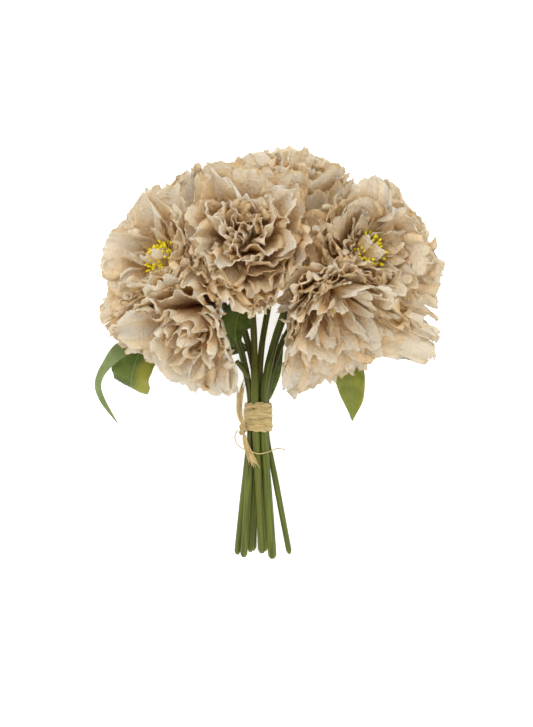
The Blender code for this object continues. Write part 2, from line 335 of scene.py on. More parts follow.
def baked(thing, name):
    """A plain mesh object of what the modifiers of a thing make. The thing itself goes."""
    bpy.context.view_layer.update()
    graph = bpy.context.evaluated_depsgraph_get()
    data = bpy.data.meshes.new_from_object(thing.evaluated_get(graph), depsgraph=graph)
    data.name = name
    bpy.data.objects.remove(thing)
    data.shade_smooth()
    return link(bpy.data.objects.new(name, data))


# Node helpers


def add_node(tree, kind, **settings):
    """A new node with its settings given by name."""
    made = tree.nodes.new(kind)
    for key, value in settings.items():
        setattr(made, key, value)
    return made


def set_inputs(node, values):
    """Gives a node's inputs their values, by name or number."""
    for socket, value in values.items():
        node.inputs[socket].default_value = value


def wire(tree, source, target, socket):
    """Joins a node's first output, or a given socket, to a named or numbered input."""
    out = source if isinstance(source, bpy.types.NodeSocket) else source.outputs[0]
    tree.links.new(out, target.inputs[socket])


def math_node(tree, operation, first, second=0.0):
    """One step of arithmetic. first and second are each a number or a socket."""
    made = add_node(tree, "ShaderNodeMath", operation=operation)
    for index, value in enumerate((first, second)):
        if isinstance(value, (int, float)):
            made.inputs[index].default_value = value
        else:
            wire(tree, value, made, index)
    return made


def geometry_tree(name, *sockets):
    """A tree of geometry nodes with inputs given as (name, kind, value), and the node that hands them out."""
    tree = bpy.data.node_groups.new(name, "GeometryNodeTree")
    for label, kind, value in (("Geometry", "Geometry", None), *sockets):
        socket = tree.interface.new_socket(name=label, in_out="INPUT", socket_type=f"NodeSocket{kind}")
        if value is not None:
            socket.default_value = value
    tree.interface.new_socket(name="Geometry", in_out="OUTPUT", socket_type="NodeSocketGeometry")
    return tree, add_node(tree, "NodeGroupInput")


def crumple_tree():
    """Geometry nodes that crumple a sheet, more along its margin, and give it its material."""
    tree, given = geometry_tree(
        "crumpled_cloth", ("Fold Size", "Float", 16 * MM), ("Fold Depth", "Float", 1.3 * MM),
        ("Crease Size", "Float", 5 * MM), ("Crease Depth", "Float", 0.5 * MM), ("Margin Gain", "Float", 0.3),
        ("Seed", "Float", 0.0), ("Material", "Material", None),
    )
    place = add_node(tree, "GeometryNodeInputPosition")
    margin = add_node(tree, "GeometryNodeInputNamedAttribute", data_type="FLOAT")
    margin.inputs["Name"].default_value = "edge"
    gain = math_node(tree, "MULTIPLY", margin.outputs["Attribute"], given.outputs["Margin Gain"])
    gain = math_node(tree, "ADD", gain, 0.7)
    offsets = []
    for size, depth, detail in (("Fold Size", "Fold Depth", 1.0), ("Crease Size", "Crease Depth", 2.0)):
        noise = add_node(tree, "ShaderNodeTexNoise", noise_dimensions="4D")
        noise.inputs["Detail"].default_value = detail
        wire(tree, place, noise, "Vector")
        wire(tree, given.outputs["Seed"], noise, "W")
        wire(tree, math_node(tree, "DIVIDE", 1.0, given.outputs[size]), noise, "Scale")
        centred = add_node(tree, "ShaderNodeVectorMath", operation="SUBTRACT")
        wire(tree, noise.outputs["Color"], centred, 0)
        centred.inputs[1].default_value = (0.5, 0.5, 0.5)
        strength = math_node(tree, "MULTIPLY", gain, given.outputs[depth])
        strength = math_node(tree, "MULTIPLY", strength, 4.0)
        scaled = add_node(tree, "ShaderNodeVectorMath", operation="SCALE")
        wire(tree, centred, scaled, 0)
        wire(tree, strength, scaled, "Scale")
        offsets.append(scaled)
    total = add_node(tree, "ShaderNodeVectorMath", operation="ADD")
    wire(tree, offsets[0], total, 0)
    wire(tree, offsets[1], total, 1)
    shift = add_node(tree, "GeometryNodeSetPosition")
    wire(tree, given.outputs["Geometry"], shift, "Geometry")
    wire(tree, total, shift, "Offset")
    real = add_node(tree, "GeometryNodeRealizeInstances")
    wire(tree, shift, real, "Geometry")
    coat = add_node(tree, "GeometryNodeSetMaterial")
    wire(tree, real, coat, "Geometry")
    wire(tree, given.outputs["Material"], coat, "Material")
    out = add_node(tree, "NodeGroupOutput")
    wire(tree, coat, out, "Geometry")
    return tree


def run_tree(thing, tree, **values):
    """Puts a tree on a thing, with its inputs given by name, before the thing is first evaluated."""
    modifier = thing.modifiers.new(tree.name, "NODES")
    modifier.node_group = tree
    for item in tree.interface.items_tree:
        key = item.name.replace(" ", "_").lower()
        if item.in_out == "INPUT" and key in values:
            modifier[item.identifier] = values[key]


# Petals


def wave(rng, slowest, fastest, terms=5):
    """A random smooth wave, as a function of an array, that stays near -1 to 1."""
    tempo = np.geomspace(slowest, fastest, terms) * rng.uniform(0.85, 1.15, terms)
    share = tempo**-0.6
    share = share / np.sqrt((share**2).sum())
    phase = rng.uniform(0, 2 * math.pi, terms)

    def at(x):
        turns = 2 * math.pi * np.asarray(x)[..., None] * tempo + phase
        return (share * np.sin(turns)).sum(-1)

    return at


def petal_outline(rng, ring, s, t):
    """A flat petal on its grid: its length, half its width, and where each place of the grid lies sideways,
    along and away from the margin. s runs across the petal from -1 to 1, t along it from 0 to 1."""
    length = ring["length"] * rng.uniform(0.86, 1.1) * MM
    half = ring["width"] * rng.uniform(0.85, 1.15) / 2 * MM
    grown = np.sin(math.pi / 2 * np.minimum(t / WIDEST, 1)) ** 1.1
    shoulder = 1 - 0.07 * np.maximum(0, (t - WIDEST) / 0.3) ** 2
    outline = (ring["root"] + (1 - ring["root"]) * grown) * shoulder
    outline = outline * (1 + 0.06 * wave(rng, 0.5, 2.5, 3)(t + 0.4 * np.sign(s)))
    lobes, jags = wave(rng, 0.5, 1.6, 3)(s), wave(rng, 3, 7, 3)(s)
    notch = rng.uniform(0, 0.16) * np.exp(-(((s - rng.uniform(-0.5, 0.5)) / 0.09) ** 2))
    tip = 1 - ring["round"] * np.abs(s) ** 2.8 + 0.04 * lobes + 0.012 * jags - notch
    x = s * half * outline
    y = length * t * (1 - (1 - tip) * t**1.4)
    margin = np.minimum((1 - np.abs(s)) * half * outline, length * tip * (1 - t))
    return length, half, x, y, margin


def petal_sheet(rng, turn, ring):
    """One petal in its flower's own frame: its smooth points, how far the ruffles push each of them out of
    the sheet and slide it along the row, what the cloth looks like there, and its place on the flat sheet."""
    across, along = ring["grid"]
    s = np.linspace(-1, 1, across)[None, :]
    t = np.linspace(0, 1, along)[:, None] ** 0.8
    length, half, x, y, margin = petal_outline(rng, ring, s, t)

    start, middle, end = (
        math.radians(slope + rng.normal(0, ring["stray"] * part))
        for slope, part in zip(ring["angles"], (0.4, 1, 1.6))
    )
    # The petal's slope along its length, and past it for lobes that grow longer
    steps = np.linspace(0, 1.2, 61)
    angle = (1 - steps) ** 2 * start + 2 * steps * (1 - steps) * middle + steps**2 * end
    step = length * (steps[1] - steps[0])
    radius = ring["foot"] * MM + np.concatenate([[0], np.cumsum(np.cos(angle[:-1]) * step)])
    height = ring["lift"] * MM + np.concatenate([[0], np.cumsum(np.sin(angle[:-1]) * step)])
    share = y / length
    here = np.interp(share, steps, angle)

    # Curved across its width, flared at its sides, twisted and leaning
    cup = ring["cup"] * rng.uniform(0.75, 1.35) * MM * (0.7 + 0.5 * t)
    bent = x / cup
    sideways, inward = cup * np.sin(bent), cup * (1 - np.cos(bent))
    inward = inward - ring["flare"] * MM * np.abs(s) ** 3 * t
    twist = math.radians(rng.normal(0, ring["twist"])) * t**1.3
    sideways, inward = (
        sideways * np.cos(twist) - inward * np.sin(twist),
        sideways * np.sin(twist) + inward * np.cos(twist),
    )
    sideways = sideways + np.tan(math.radians(rng.normal(0, ring["lean"]))) * y
    out = np.interp(share, steps, radius) - np.sin(here) * inward
    up = np.interp(share, steps, height) + np.cos(here) * inward
    points = np.stack([out, sideways, up], -1) @ np.array(Matrix.Rotation(turn, 3, "Z")).T

    # Ruffles along the tip, others along the sides, then pleats, a crimped margin and a rolled one
    depth = ring["ruffle"] * rng.uniform(0.7, 1.3) * MM
    pace = half / (ring["pace"] * MM)
    drift = 1.5 * wave(rng, 0.3, 1.0, 3)(s + 0.25 * t)
    swing = 2 * math.pi * pace * s + drift + rng.uniform(0, 2 * math.pi)
    grip = t**1.7 * (0.55 + 0.45 * np.abs(s))
    push = depth * np.sin(swing) * grip
    slide = -0.42 * depth * np.sin(2 * swing) * grip
    phases = rng.uniform(0, 2 * math.pi, 2)[(s[0] > 0).astype(int)]
    side = 2 * math.pi * length / (2.2 * ring["pace"] * MM) * t + phases
    push = push + 0.7 * depth * np.sin(side) * np.abs(s) ** 4 * t
    pleat = wave(rng, 0.8 * pace, 2.2 * pace, 3)(s) * (1 - t) * t
    push = push + 0.3 * depth * pleat
    ridge = push / depth
    crimp = wave(rng, 2.2 * pace, 6 * pace, 4)(s + 0.1 * t) * np.exp(-margin / CRIMP_WIDTH) * t
    push = push + ring["crimp"] * MM * crimp
    push = push + PLEAT_DEPTH * wave(rng, 2.5 * pace, 5 * pace, 4)(s) * np.sqrt(t)
    roll = ring["roll"] * rng.uniform(-0.3, 1.6) * MM
    push = push - roll * np.exp(-margin / ROLL_WIDTH) * t
    # ridge leads the painted highlight on ruffle ridges and the painted shade in their valleys; edge leads
    # the margin's painted highlight, its tan rim and its stronger crumple; root leads the painted shade deep
    # at the base
    looks = {
        "edge": np.exp(-margin / HEM_WIDTH),
        "root": 1 - t * np.ones_like(s),
        "ridge": 0.5 + 0.5 * ridge,
        "tone": rng.uniform(0, 1),
    }
    flat = np.stack([x + turn * LAYOUT_STEP, y * np.ones_like(s)], -1)
    return points, push, slide, looks, flat


def sheet_ways(points):
    """The directions along the rows and out of the face at each place of a grid of points."""
    right = unit(np.gradient(points, axis=1))
    return right, unit(np.cross(right, np.gradient(points, axis=0)))


def ruffled(points, push, slide):
    """A grid of points moved out of its own surface by push and along its rows by slide."""
    right, normal = sheet_ways(points)
    return points + normal * push[..., None] + right * slide[..., None]


def add_sheet(shapes, points, thickness, flat, **looks):
    """Adds a grid of points as a thin closed slab."""
    rows, columns = points.shape[:2]
    _, normal = sheet_ways(points)
    both = np.stack([points + normal * thickness / 2, points - normal * thickness / 2])
    quads = grid_faces(rows, columns)
    under = rows * columns
    number = np.arange(under).reshape(rows, columns)
    border = np.concatenate([number[0], number[1:, -1], number[-1, -2::-1], number[-2:0:-1, 0]])
    onward = np.roll(border, -1)
    rim = np.stack([border, border + under, onward + under, onward], -1)
    looks = {key: np.broadcast_to(value, (2, rows, columns)) for key, value in looks.items()}
    quads = np.concatenate([quads, quads[:, ::-1] + under, rim])
    shapes.add(both, quads, flat=np.stack([flat, flat]), **looks)


def petal_turns(flower, ring, rng):
    """Where the petals of a ring stand around their flower. towards lists ways to point, in degrees as
    seen from above the lying bunch: 0 is to the right, 90 away from the stems."""
    if "towards" in ring:
        own = PLACES[flower].to_3x3().inverted()
        for degrees in ring["towards"]:
            way = own @ Vector((math.cos(math.radians(degrees)), math.sin(math.radians(degrees)), 0))
            yield math.atan2(way.y, way.x)
    else:
        first = rng.uniform(0, 2 * math.pi)
        for k in range(ring["count"]):
            yield first + 2 * math.pi * (k + rng.uniform(-0.28, 0.28)) / ring["count"]


def grow_petals(flower, rings, seed):
    """All the petals of some rings of one flower, as sheets in the bunch frame with their looks."""
    rng = np.random.default_rng(seed)
    petals = []
    for ring in rings:
        for turn in petal_turns(flower, ring, rng):
            sheet, push, slide, looks, flat = petal_sheet(rng, turn, ring)
            give, spare = rng.uniform(*ring["give"]) * MM, rng.uniform(*DOME_STRAY) * MM
            sheet = press(flower, moved(PLACES[flower], sheet), give, spare)
            sheet = ruffled(sheet, push, slide)
            height = sheet @ UP + TABLE_OFFSET
            sheet = sheet + UP * np.maximum(TABLE_CLEARANCE - height, 0)[..., None]
            petals.append((sheet, looks, flat))
    return petals


def coarse(sheet, most):
    """The rows and the columns of a sheet that are picked to stand for all of them, with both ends."""
    return [np.unique(np.linspace(0, n - 1, k).round().astype(int)) for n, k in zip(sheet.shape, most)]


def shut_in_look(petals):
    """Gives every petal the share of the directions in which other petals are close."""
    places, faces = [], []
    for sheet, _, _ in petals:
        part = sheet[np.ix_(*coarse(sheet, SHUT_IN_MET))]
        faces += (grid_faces(*part.shape[:2]) + len(places)).tolist()
        places += part.reshape(-1, 3).tolist()
    tree = BVHTree.FromPolygons(places, faces)
    # Ways out that are spread evenly over a ball
    count = np.arange(SHUT_IN_RAYS) + 0.5
    polar, turn = np.arccos(1 - 2 * count / SHUT_IN_RAYS), math.pi * (1 + 5**0.5) * count
    ways = np.stack([np.cos(turn) * np.sin(polar), np.sin(turn) * np.sin(polar), np.cos(polar)], -1)
    ways = [Vector(way) for way in ways]
    for sheet, looks, _ in petals:
        rows, columns = coarse(sheet, SHUT_IN_LOOKS)
        hits = np.empty((len(rows), len(columns)))
        for i, row in enumerate(rows):
            for j, column in enumerate(columns):
                place = Vector(sheet[row, column])
                met = [tree.ray_cast(place + way * SHUT_IN_NEAR, way, SHUT_IN_FAR)[0] for way in ways]
                hits[i, j] = sum(hit is not None for hit in met) / SHUT_IN_RAYS
        every = np.arange(sheet.shape[1])
        hits = np.stack([np.interp(every, columns, line) for line in hits])
        every = np.arange(sheet.shape[0])
        looks["shut_in"] = np.stack([np.interp(every, rows, line) for line in hits.T], -1)


def petal_piece(name, petals, seed, finish, slot, node):
    """Petals as one piece of crumpled cloth."""
    shapes = Shapes()
    for sheet, looks, flat in petals:
        add_sheet(shapes, sheet, CLOTH_THICKNESS, flat, **looks)
    sheets = shapes.object(name + "_sheets")
    run_tree(sheets, CRUMPLE, seed=float(seed), material=finish)
    finish_piece(baked(sheets, name), slot, node)


# Rings of petals, in mm and degrees:
# foot, lift        where petals start, out from the flower's middle and up
# angles            a petal's slope where it starts, on the way and at its tip: 0 lies flat, 90 stands up
#                   along the way the flower faces, more than 90 leans over the middle
# root, round       its width where it starts, as a share, and how far its tip is rounded off
# cup, flare        the radius it is curved to across its width, below 0 for backwards, and how far its sides
#                   open again
# ruffle, pace      the depth and the length of its ruffles
# crimp, roll       the depth of the fine crimp along its margin, and how far the margin rolls back
# twist             how unevenly petals turn about their own length
# stray, lean       how unevenly they rise and lean aside
# give              how far they may reach past the middle between two heads, from least to most
# grid              places across and along
# towards           the ways its petals point, instead of a count of petals all round
GUARD = dict(
    count=7, foot=7, lift=1, angles=(12, 56, 28), length=60, width=56, root=0.22, round=0.34, cup=36,
    flare=3, twist=8, ruffle=2.8, pace=20, crimp=0.9, roll=1.4, stray=8, lean=6, give=(0, 6), grid=(42, 30),
)
GUARD_INNER = dict(
    GUARD, lift=2.5, angles=(24, 68, 42), length=56, width=48, cup=26, ruffle=3.4, crimp=0.8, roll=1.6,
)
RUFF_OUTER = dict(
    count=7, foot=6, lift=4, angles=(34, 82, 48), length=54, width=40, root=0.25, round=0.34, cup=18,
    flare=4, twist=20, ruffle=3.6, pace=18, crimp=0.7, roll=1.6, stray=12, lean=12, give=(0, 8),
    grid=(34, 28),
)
RUFF_MIDDLE = dict(RUFF_OUTER, count=6, foot=5, lift=5, angles=(50, 92, 62), length=51, width=38, cup=14)
RUFF_INNER = dict(RUFF_OUTER, count=5, foot=4, lift=6, angles=(64, 100, 80), length=48, width=34, cup=11)
HEART = dict(RUFF_OUTER, count=4, foot=2.5, lift=7, angles=(78, 102, 92), length=44, width=28, cup=9)
PETALOIDS = dict(
    count=16, foot=5, lift=6, angles=(50, 78, 50), length=34, width=11, root=0.4, round=0.45, cup=5, flare=0,
    twist=14, ruffle=1.0, pace=12, crimp=0.3, roll=0.6, stray=12, lean=10, give=(0, 6), grid=(9, 18),
)
LOBES = dict(GUARD, angles=(16, 34, 8), length=64, width=42, cup=24, ruffle=3.6, pace=18)
FILL = dict(LOBES, angles=(14, 36, 16), length=58, width=44, give=(6, 16))
SEPALS = dict(
    count=5, foot=5, lift=-6, angles=(2, 30, 62), length=26, width=18, root=0.5, round=0.55, cup=16, flare=0,
    twist=5, ruffle=0.6, pace=12, crimp=0.1, roll=0.4, stray=5, lean=4, give=(0, 0), grid=(11, 14),
)

OPEN_RUFF = dict(RUFF_OUTER, foot=9, angles=(30, 74, 40))
OPEN_PETALOIDS = dict(PETALOIDS, foot=9)
COVER = dict(PETALOIDS, foot=6, angles=(72, 112, 128), length=30, width=17, cup=7, twist=25)
TONGUES = dict(PETALOIDS, count=15, foot=9, angles=(40, 66, 24), length=50, width=17, cup=-14, pace=14)
LOOSE_RUFF = dict(RUFF_OUTER, width=50, length=60, angles=(32, 60, 20), cup=24, ruffle=3.4, pace=19)
BROAD = dict(GUARD, ruffle=2.0, crimp=0.7, width=60, length=56)

# Every flower's rings of guard petals, and then its rings of inner petals
HABITS = {
    "left": (
        [
            BROAD, dict(BROAD, lift=2.5, angles=(24, 66, 42), length=54, width=54, count=6, cup=30),
            dict(LOBES, towards=(204, 226, 248, 270, 292, 318), length=66),
        ],
        [
            dict(OPEN_RUFF, count=6, width=46, ruffle=2.6), dict(OPEN_PETALOIDS, count=12),
            dict(COVER, towards=(-50, 60)),
        ],
    ),
    "right": (
        [
            GUARD, dict(GUARD_INNER, count=6, width=54, ruffle=2.6),
            dict(LOBES, towards=(-36, -14, 8, 30), length=74),
            dict(FILL, towards=(160, 182, 204, 228, 250)),
            dict(FILL, towards=(172, 184, 196), angles=(20, 38, 16), length=60, give=(16, 28)),
        ],
        [
            OPEN_RUFF, dict(OPEN_PETALOIDS, count=18), dict(OPEN_PETALOIDS, count=14, length=28),
            dict(COVER, towards=(150, 190, 230)),
        ],
    ),
    "front": (
        [
            GUARD, GUARD_INNER,
            dict(LOBES, towards=(222, 243, 264, 285, 308), length=82, width=50, ruffle=3.0),
            dict(LOBES, towards=(236, 257), length=82, width=44, give=(10, 15)),
            dict(FILL, towards=(-45, -24, -4, 16, 36)),
        ],
        [RUFF_OUTER, RUFF_MIDDLE, RUFF_INNER, HEART],
    ),
    "low_left": (
        [
            GUARD,
            dict(LOBES, towards=(176, 198, 220, 242, 264, 286), angles=(24, 44, 4), length=66, width=46),
            dict(LOBES, towards=(192, 206), length=84, width=46),
            dict(FILL, towards=(50, 76, 102, 130, 156)),
        ],
        [LOOSE_RUFF, dict(RUFF_MIDDLE, width=44, angles=(46, 80, 44)), RUFF_INNER],
    ),
    "low_right": (
        [
            GUARD, GUARD_INNER, dict(LOBES, towards=(252, 268), length=74),
            dict(LOBES, towards=(284, 300), length=62),
            dict(LOBES, towards=(316, 330, 343, 358), length=96, width=46),
            dict(
                LOBES, towards=(233, 248), angles=(34, 44, 2), length=78, width=58, cup=30, ruffle=1.5,
                crimp=0.5,
            ),
            dict(LOBES, towards=(290, 312, 333, 352), angles=(34, 48, 14), length=70, width=48),
            dict(FILL, towards=(70, 96, 122, 148)),
            dict(
                FILL, towards=(82, 104, 118, 132, 110, 124), angles=(22, 50, 26), length=66, give=(15, 29),
            ),
        ],
        [
            dict(RUFF_OUTER, foot=9), TONGUES,
            dict(TONGUES, foot=7, angles=(52, 84, 46), count=13, length=46),
            dict(PETALOIDS, count=9, foot=6, angles=(62, 92, 66), length=40, width=12),
        ],
    ),
    "top": ([dict(GUARD, length=55), GUARD_INNER], [RUFF_OUTER, RUFF_MIDDLE, RUFF_INNER]),
    "back_left": (
        [GUARD, GUARD_INNER, dict(LOBES, towards=(70, 92, 112, 132, 152), length=74, angles=(10, 10, -10))],
        [RUFF_OUTER, RUFF_MIDDLE, RUFF_INNER],
    ),
    "back_right": ([GUARD, GUARD_INNER], [RUFF_OUTER, RUFF_MIDDLE, RUFF_INNER]),
}


# Stamens

# How long the stamens of each flower are, from the shortest to the longest, in mm
STAMEN_LENGTHS = {"left": (8.0, 14.0), "right": (8.0, 14.0), "low_right": (2.5, 4.5)}
SHORT_STAMENS = (4.0, 7.0)
THREAD_RADIUS = 0.3 * MM
KNOB_RADIUS = 1.3 * MM
KNOB_SHAPE = (0.85, 0.7, 1.6)


def stamen_tree():
    """Geometry nodes that grow threads with a knob at the tip out of a bed."""
    tree, given = geometry_tree(
        "stamens", ("Density", "Float", 550000.0), ("Shortest", "Float", 9 * MM),
        ("Longest", "Float", 14.5 * MM), ("Lean", "Float", 0.35), ("Seed", "Int", 1),
        ("Thread", "Material", None), ("Knob", "Material", None),
    )
    scatter = add_node(tree, "GeometryNodeDistributePointsOnFaces")
    for label, socket in (("Geometry", "Mesh"), ("Density", "Density"), ("Seed", "Seed")):
        wire(tree, given.outputs[label], scatter, socket)
    reach = add_node(tree, "FunctionNodeRandomValue")
    for label, socket in (("Shortest", 2), ("Longest", 3), ("Seed", "Seed")):
        wire(tree, given.outputs[label], reach, socket)
    lean = add_node(tree, "FunctionNodeRandomValue", data_type="FLOAT_VECTOR")
    least = math_node(tree, "MULTIPLY", given.outputs["Lean"], -1.0)
    for socket, amount in ((0, least), (1, given.outputs["Lean"])):
        both = add_node(tree, "ShaderNodeCombineXYZ")
        for axis in ("X", "Y", "Z"):
            wire(tree, amount, both, axis)
        wire(tree, both, lean, socket)
    wire(tree, given.outputs["Seed"], lean, "Seed")
    tilted = add_node(tree, "FunctionNodeRotateRotation", rotation_space="LOCAL")
    wire(tree, scatter.outputs["Rotation"], tilted, 0)
    wire(tree, lean.outputs[0], tilted, 1)
    thread = add_node(tree, "GeometryNodeMeshCylinder")
    set_inputs(thread, {"Vertices": 5, "Radius": THREAD_RADIUS, "Depth": 1.0})
    stood = add_node(tree, "GeometryNodeTransform")
    wire(tree, thread.outputs["Mesh"], stood, "Geometry")
    set_inputs(stood, {"Translation": (0, 0, 0.5)})
    knob = add_node(tree, "GeometryNodeMeshUVSphere")
    set_inputs(knob, {"Segments": 7, "Rings": 5, "Radius": KNOB_RADIUS})
    drawn = add_node(tree, "GeometryNodeTransform")
    wire(tree, knob.outputs["Mesh"], drawn, "Geometry")
    set_inputs(drawn, {"Scale": KNOB_SHAPE})
    parts = add_node(tree, "GeometryNodeJoinGeometry")
    for shape, coat, lifted in ((stood, "Thread", False), (drawn, "Knob", True)):
        painted = add_node(tree, "GeometryNodeSetMaterial")
        wire(tree, shape, painted, "Geometry")
        wire(tree, given.outputs[coat], painted, "Material")
        copies = add_node(tree, "GeometryNodeInstanceOnPoints")
        wire(tree, scatter.outputs["Points"], copies, "Points")
        wire(tree, painted, copies, "Instance")
        wire(tree, tilted, copies, "Rotation")
        way = add_node(tree, "ShaderNodeCombineXYZ")
        wire(tree, reach.outputs[1], way, "Z")
        if lifted:
            raised = add_node(tree, "GeometryNodeTranslateInstances")
            wire(tree, copies, raised, "Instances")
            wire(tree, way, raised, "Translation")
            wire(tree, raised, parts, "Geometry")
        else:
            set_inputs(way, {"X": 1.0, "Y": 1.0})
            wire(tree, way, copies, "Scale")
            wire(tree, copies, parts, "Geometry")
    real = add_node(tree, "GeometryNodeRealizeInstances")
    wire(tree, parts, real, "Geometry")
    wire(tree, real, add_node(tree, "NodeGroupOutput"), "Geometry")
    return tree


def stamen_piece(flower, seed, shortest, longest):
    """The stamens of one flower. They grow from the top of a low dome inside the ring of petals."""
    shapes = Shapes()
    rows, around = 5, 20
    lean = np.linspace(0.02, STAMEN_BED_SPREAD, rows)[:, None]
    turn = turns_round(around)
    dome = STAMEN_BED_RADIUS * np.stack(
        [np.sin(lean) * np.cos(turn), np.sin(lean) * np.sin(turn), np.cos(lean) * np.ones(around)], -1
    )
    dome[..., 2] += STAMEN_FOOT - STAMEN_BED_RADIUS * math.cos(STAMEN_BED_SPREAD)
    quads, caps = tube_faces(rows, around)
    shapes.add(moved(PLACES[flower], dome), quads[:, ::-1], [caps[0]])
    bed = shapes.object(f"{flower}_stamen_bed")
    run_tree(
        bed, STAMENS, seed=seed, shortest=shortest * MM, longest=longest * MM, thread=LOOKS["thread"],
        knob=LOOKS["knob"],
    )
    piece = baked(bed, f"{flower}_peony_stamen_threads")
    finish_piece(piece, "stamens", f"{flower}_peony_stamens")


# Green parts

# The cup under a flower, as radius and height, in mm
CUP_PROFILE = (
    (2.4, -11.6), (3.1, -11.2), (3.4, -9), (4.8, -6.6), (7.6, -4.4), (9.4, -2), (9.6, -0.6), (7, 0),
)


def calyx_piece(flower, seed):
    """The cup under a flower: a swollen stalk end with five sepals."""
    rng = np.random.default_rng(seed)
    shapes = Shapes()
    around = 20
    turn = turns_round(around)
    rings = [
        np.stack([radius * MM * np.cos(turn), radius * MM * np.sin(turn), np.full(around, up * MM)], -1)
        for radius, up in CUP_PROFILE
    ]
    quads, caps = tube_faces(len(rings), around)
    shapes.add(moved(PLACES[flower], np.array(rings)), quads, caps, patch=0.0, tone=0.4)
    for turn in petal_turns(flower, SEPALS, rng):
        sheet, push, slide, looks, flat = petal_sheet(rng, turn, SEPALS)
        sheet = ruffled(press(flower, moved(PLACES[flower], sheet)), push, slide)
        flat = flat - np.array([turn * LAYOUT_STEP, 0])
        add_sheet(shapes, sheet, LEAF_THICKNESS, flat, patch=0.0, tone=looks["tone"])
    piece = shapes.object(f"{flower}_peony_calyx_cup", LOOKS["calyx"])
    finish_piece(piece, "calyx", f"{flower}_peony_calyx")


def centreline(node):
    """The middle of a CAD tube, ring by ring from its lowest end, in the bunch frame."""
    points = node_points(node)
    place = points[np.argsort(points[:, 1])[:CAD_TUBE_SIDES]].mean(0)
    line = []
    while len(points) >= CAD_TUBE_SIDES:
        near = np.argsort(np.linalg.norm(points - place, axis=1))[:CAD_TUBE_SIDES]
        place = points[near].mean(0)
        line.append(place)
        points = np.delete(points, near, axis=0)
    return np.array(line)


def rounded_ends(far, reach, share):
    """How the size of a stalk shrinks towards both its ends."""
    ends = np.minimum(far, far[-1] - far)
    return np.sqrt(1 - (1 - np.minimum(ends / (reach * MM), 1)) ** 2 * share)


def stem_piece(flower, seed):
    """A slightly ridged stalk with a rounded cut end, and a joint where a longer sleeve begins."""
    rng = np.random.default_rng(seed)
    radius, joint = STEMS[flower]
    route = resampled(smooth_route(centreline(f"{flower}_peony_stem") / MM, 8), 90)
    far = lengths_along(route)
    uneven = 1 + 0.035 * wave(rng, 2, 9, 4)(far / far[-1])
    bulge = np.exp(-(((far - joint * MM) / (1.3 * MM)) ** 2))
    sleeve = np.where(far < joint * MM, 1.04, 0.96)
    size = radius * MM * rounded_ends(far, 1.6, 0.75) * uneven * (1 + 0.16 * bulge) * sleeve
    shapes = Shapes()
    fresh = np.clip((joint * MM - far) / (3 * MM) + 0.5, 0, 1)
    dry = np.exp(-far / (2.5 * MM))
    add_tube(
        shapes, route, size, size * rng.uniform(0.9, 1.0), around=14, tone=rng.uniform(0, 1),
        fresh=fresh[:, None], dry=dry[:, None],
    )
    piece = shapes.object(f"{flower}_peony_stalk", LOOKS["stem"])
    finish_piece(piece, "stem", f"{flower}_peony_stem")


def shoot_piece(name, number):
    """A side shoot, or the stub of one."""
    points, radius = SHOOTS[name]
    route = resampled(smooth_route(points, 6), 30)
    far = lengths_along(route)
    size = radius * MM * rounded_ends(far, 0.8, 0.7)
    shapes = Shapes()
    dry = np.exp(-(far[-1] - far) / (1.5 * MM)) if name == "cut_side_shoot" else np.zeros(len(far))
    add_tube(shapes, route, size, size, around=12, tone=0.2 + 0.1 * number, fresh=0.2, dry=dry[:, None])
    finish_piece(shapes.object(f"{name}_stalk", LOOKS["stem"]), "stem", name)


def leaf_piece(name, seed):
    """A leaf blade, folded along its midrib, with a wavy margin and a short stalk."""
    rng = np.random.default_rng(seed)
    leaf = LEAVES[name]
    rows, columns = 44, 17
    route = resampled(smooth_route(leaf["route"], 10), rows)
    shape = smooth_route([(share, width, 0) for share, width in leaf["outline"]], 8) / MM
    share = np.linspace(0, 1, rows)
    half = leaf["half"] * MM * np.interp(share, shape[:, 0], shape[:, 1])
    _, sides, faces = frames_along(route, np.array(leaf["side"], float))
    t = np.linspace(-1, 1, columns)[None, :]
    far = lengths_along(route)[:, None]
    bow = leaf["fold"] * np.abs(t) ** 1.3 + leaf["curl"] * t**2 * share[:, None]
    margin = 0.13 * wave(rng, 1.5, 4.5, 4)(share[:, None] + 0.3 * np.sign(t)) * np.abs(t) ** 3
    quilt = 0.018 * np.cos((far / MM - 1.1 * np.abs(t) * half[:, None] / MM) * 2 * math.pi / leaf["veins"])
    out = (bow + margin) * half[:, None] + quilt * half[:, None] * np.abs(t) * (1 - np.abs(t)) * 4
    narrow = np.sqrt(1 - 0.5 * np.minimum(leaf["fold"], 1) ** 2)
    across = t * half[:, None]
    points = route[:, None] + sides[:, None] * (across * narrow)[..., None] + faces[:, None] * out[..., None]
    flat = np.stack([across, np.broadcast_to(far, across.shape)], -1)
    patch = np.clip((t - leaf["patch"]) * 2.2 + 0.5 * wave(rng, 0.8, 2.5, 3)(share[:, None]), 0, 1)
    shapes = Shapes()
    add_sheet(shapes, points, LEAF_THICKNESS, flat, patch=patch, tone=leaf["tone"])
    finish_piece(shapes.object(f"leaf_{name}_blade", LOOKS[leaf["look"]]), "leaf", f"leaf_{name}")


# The raffia tie


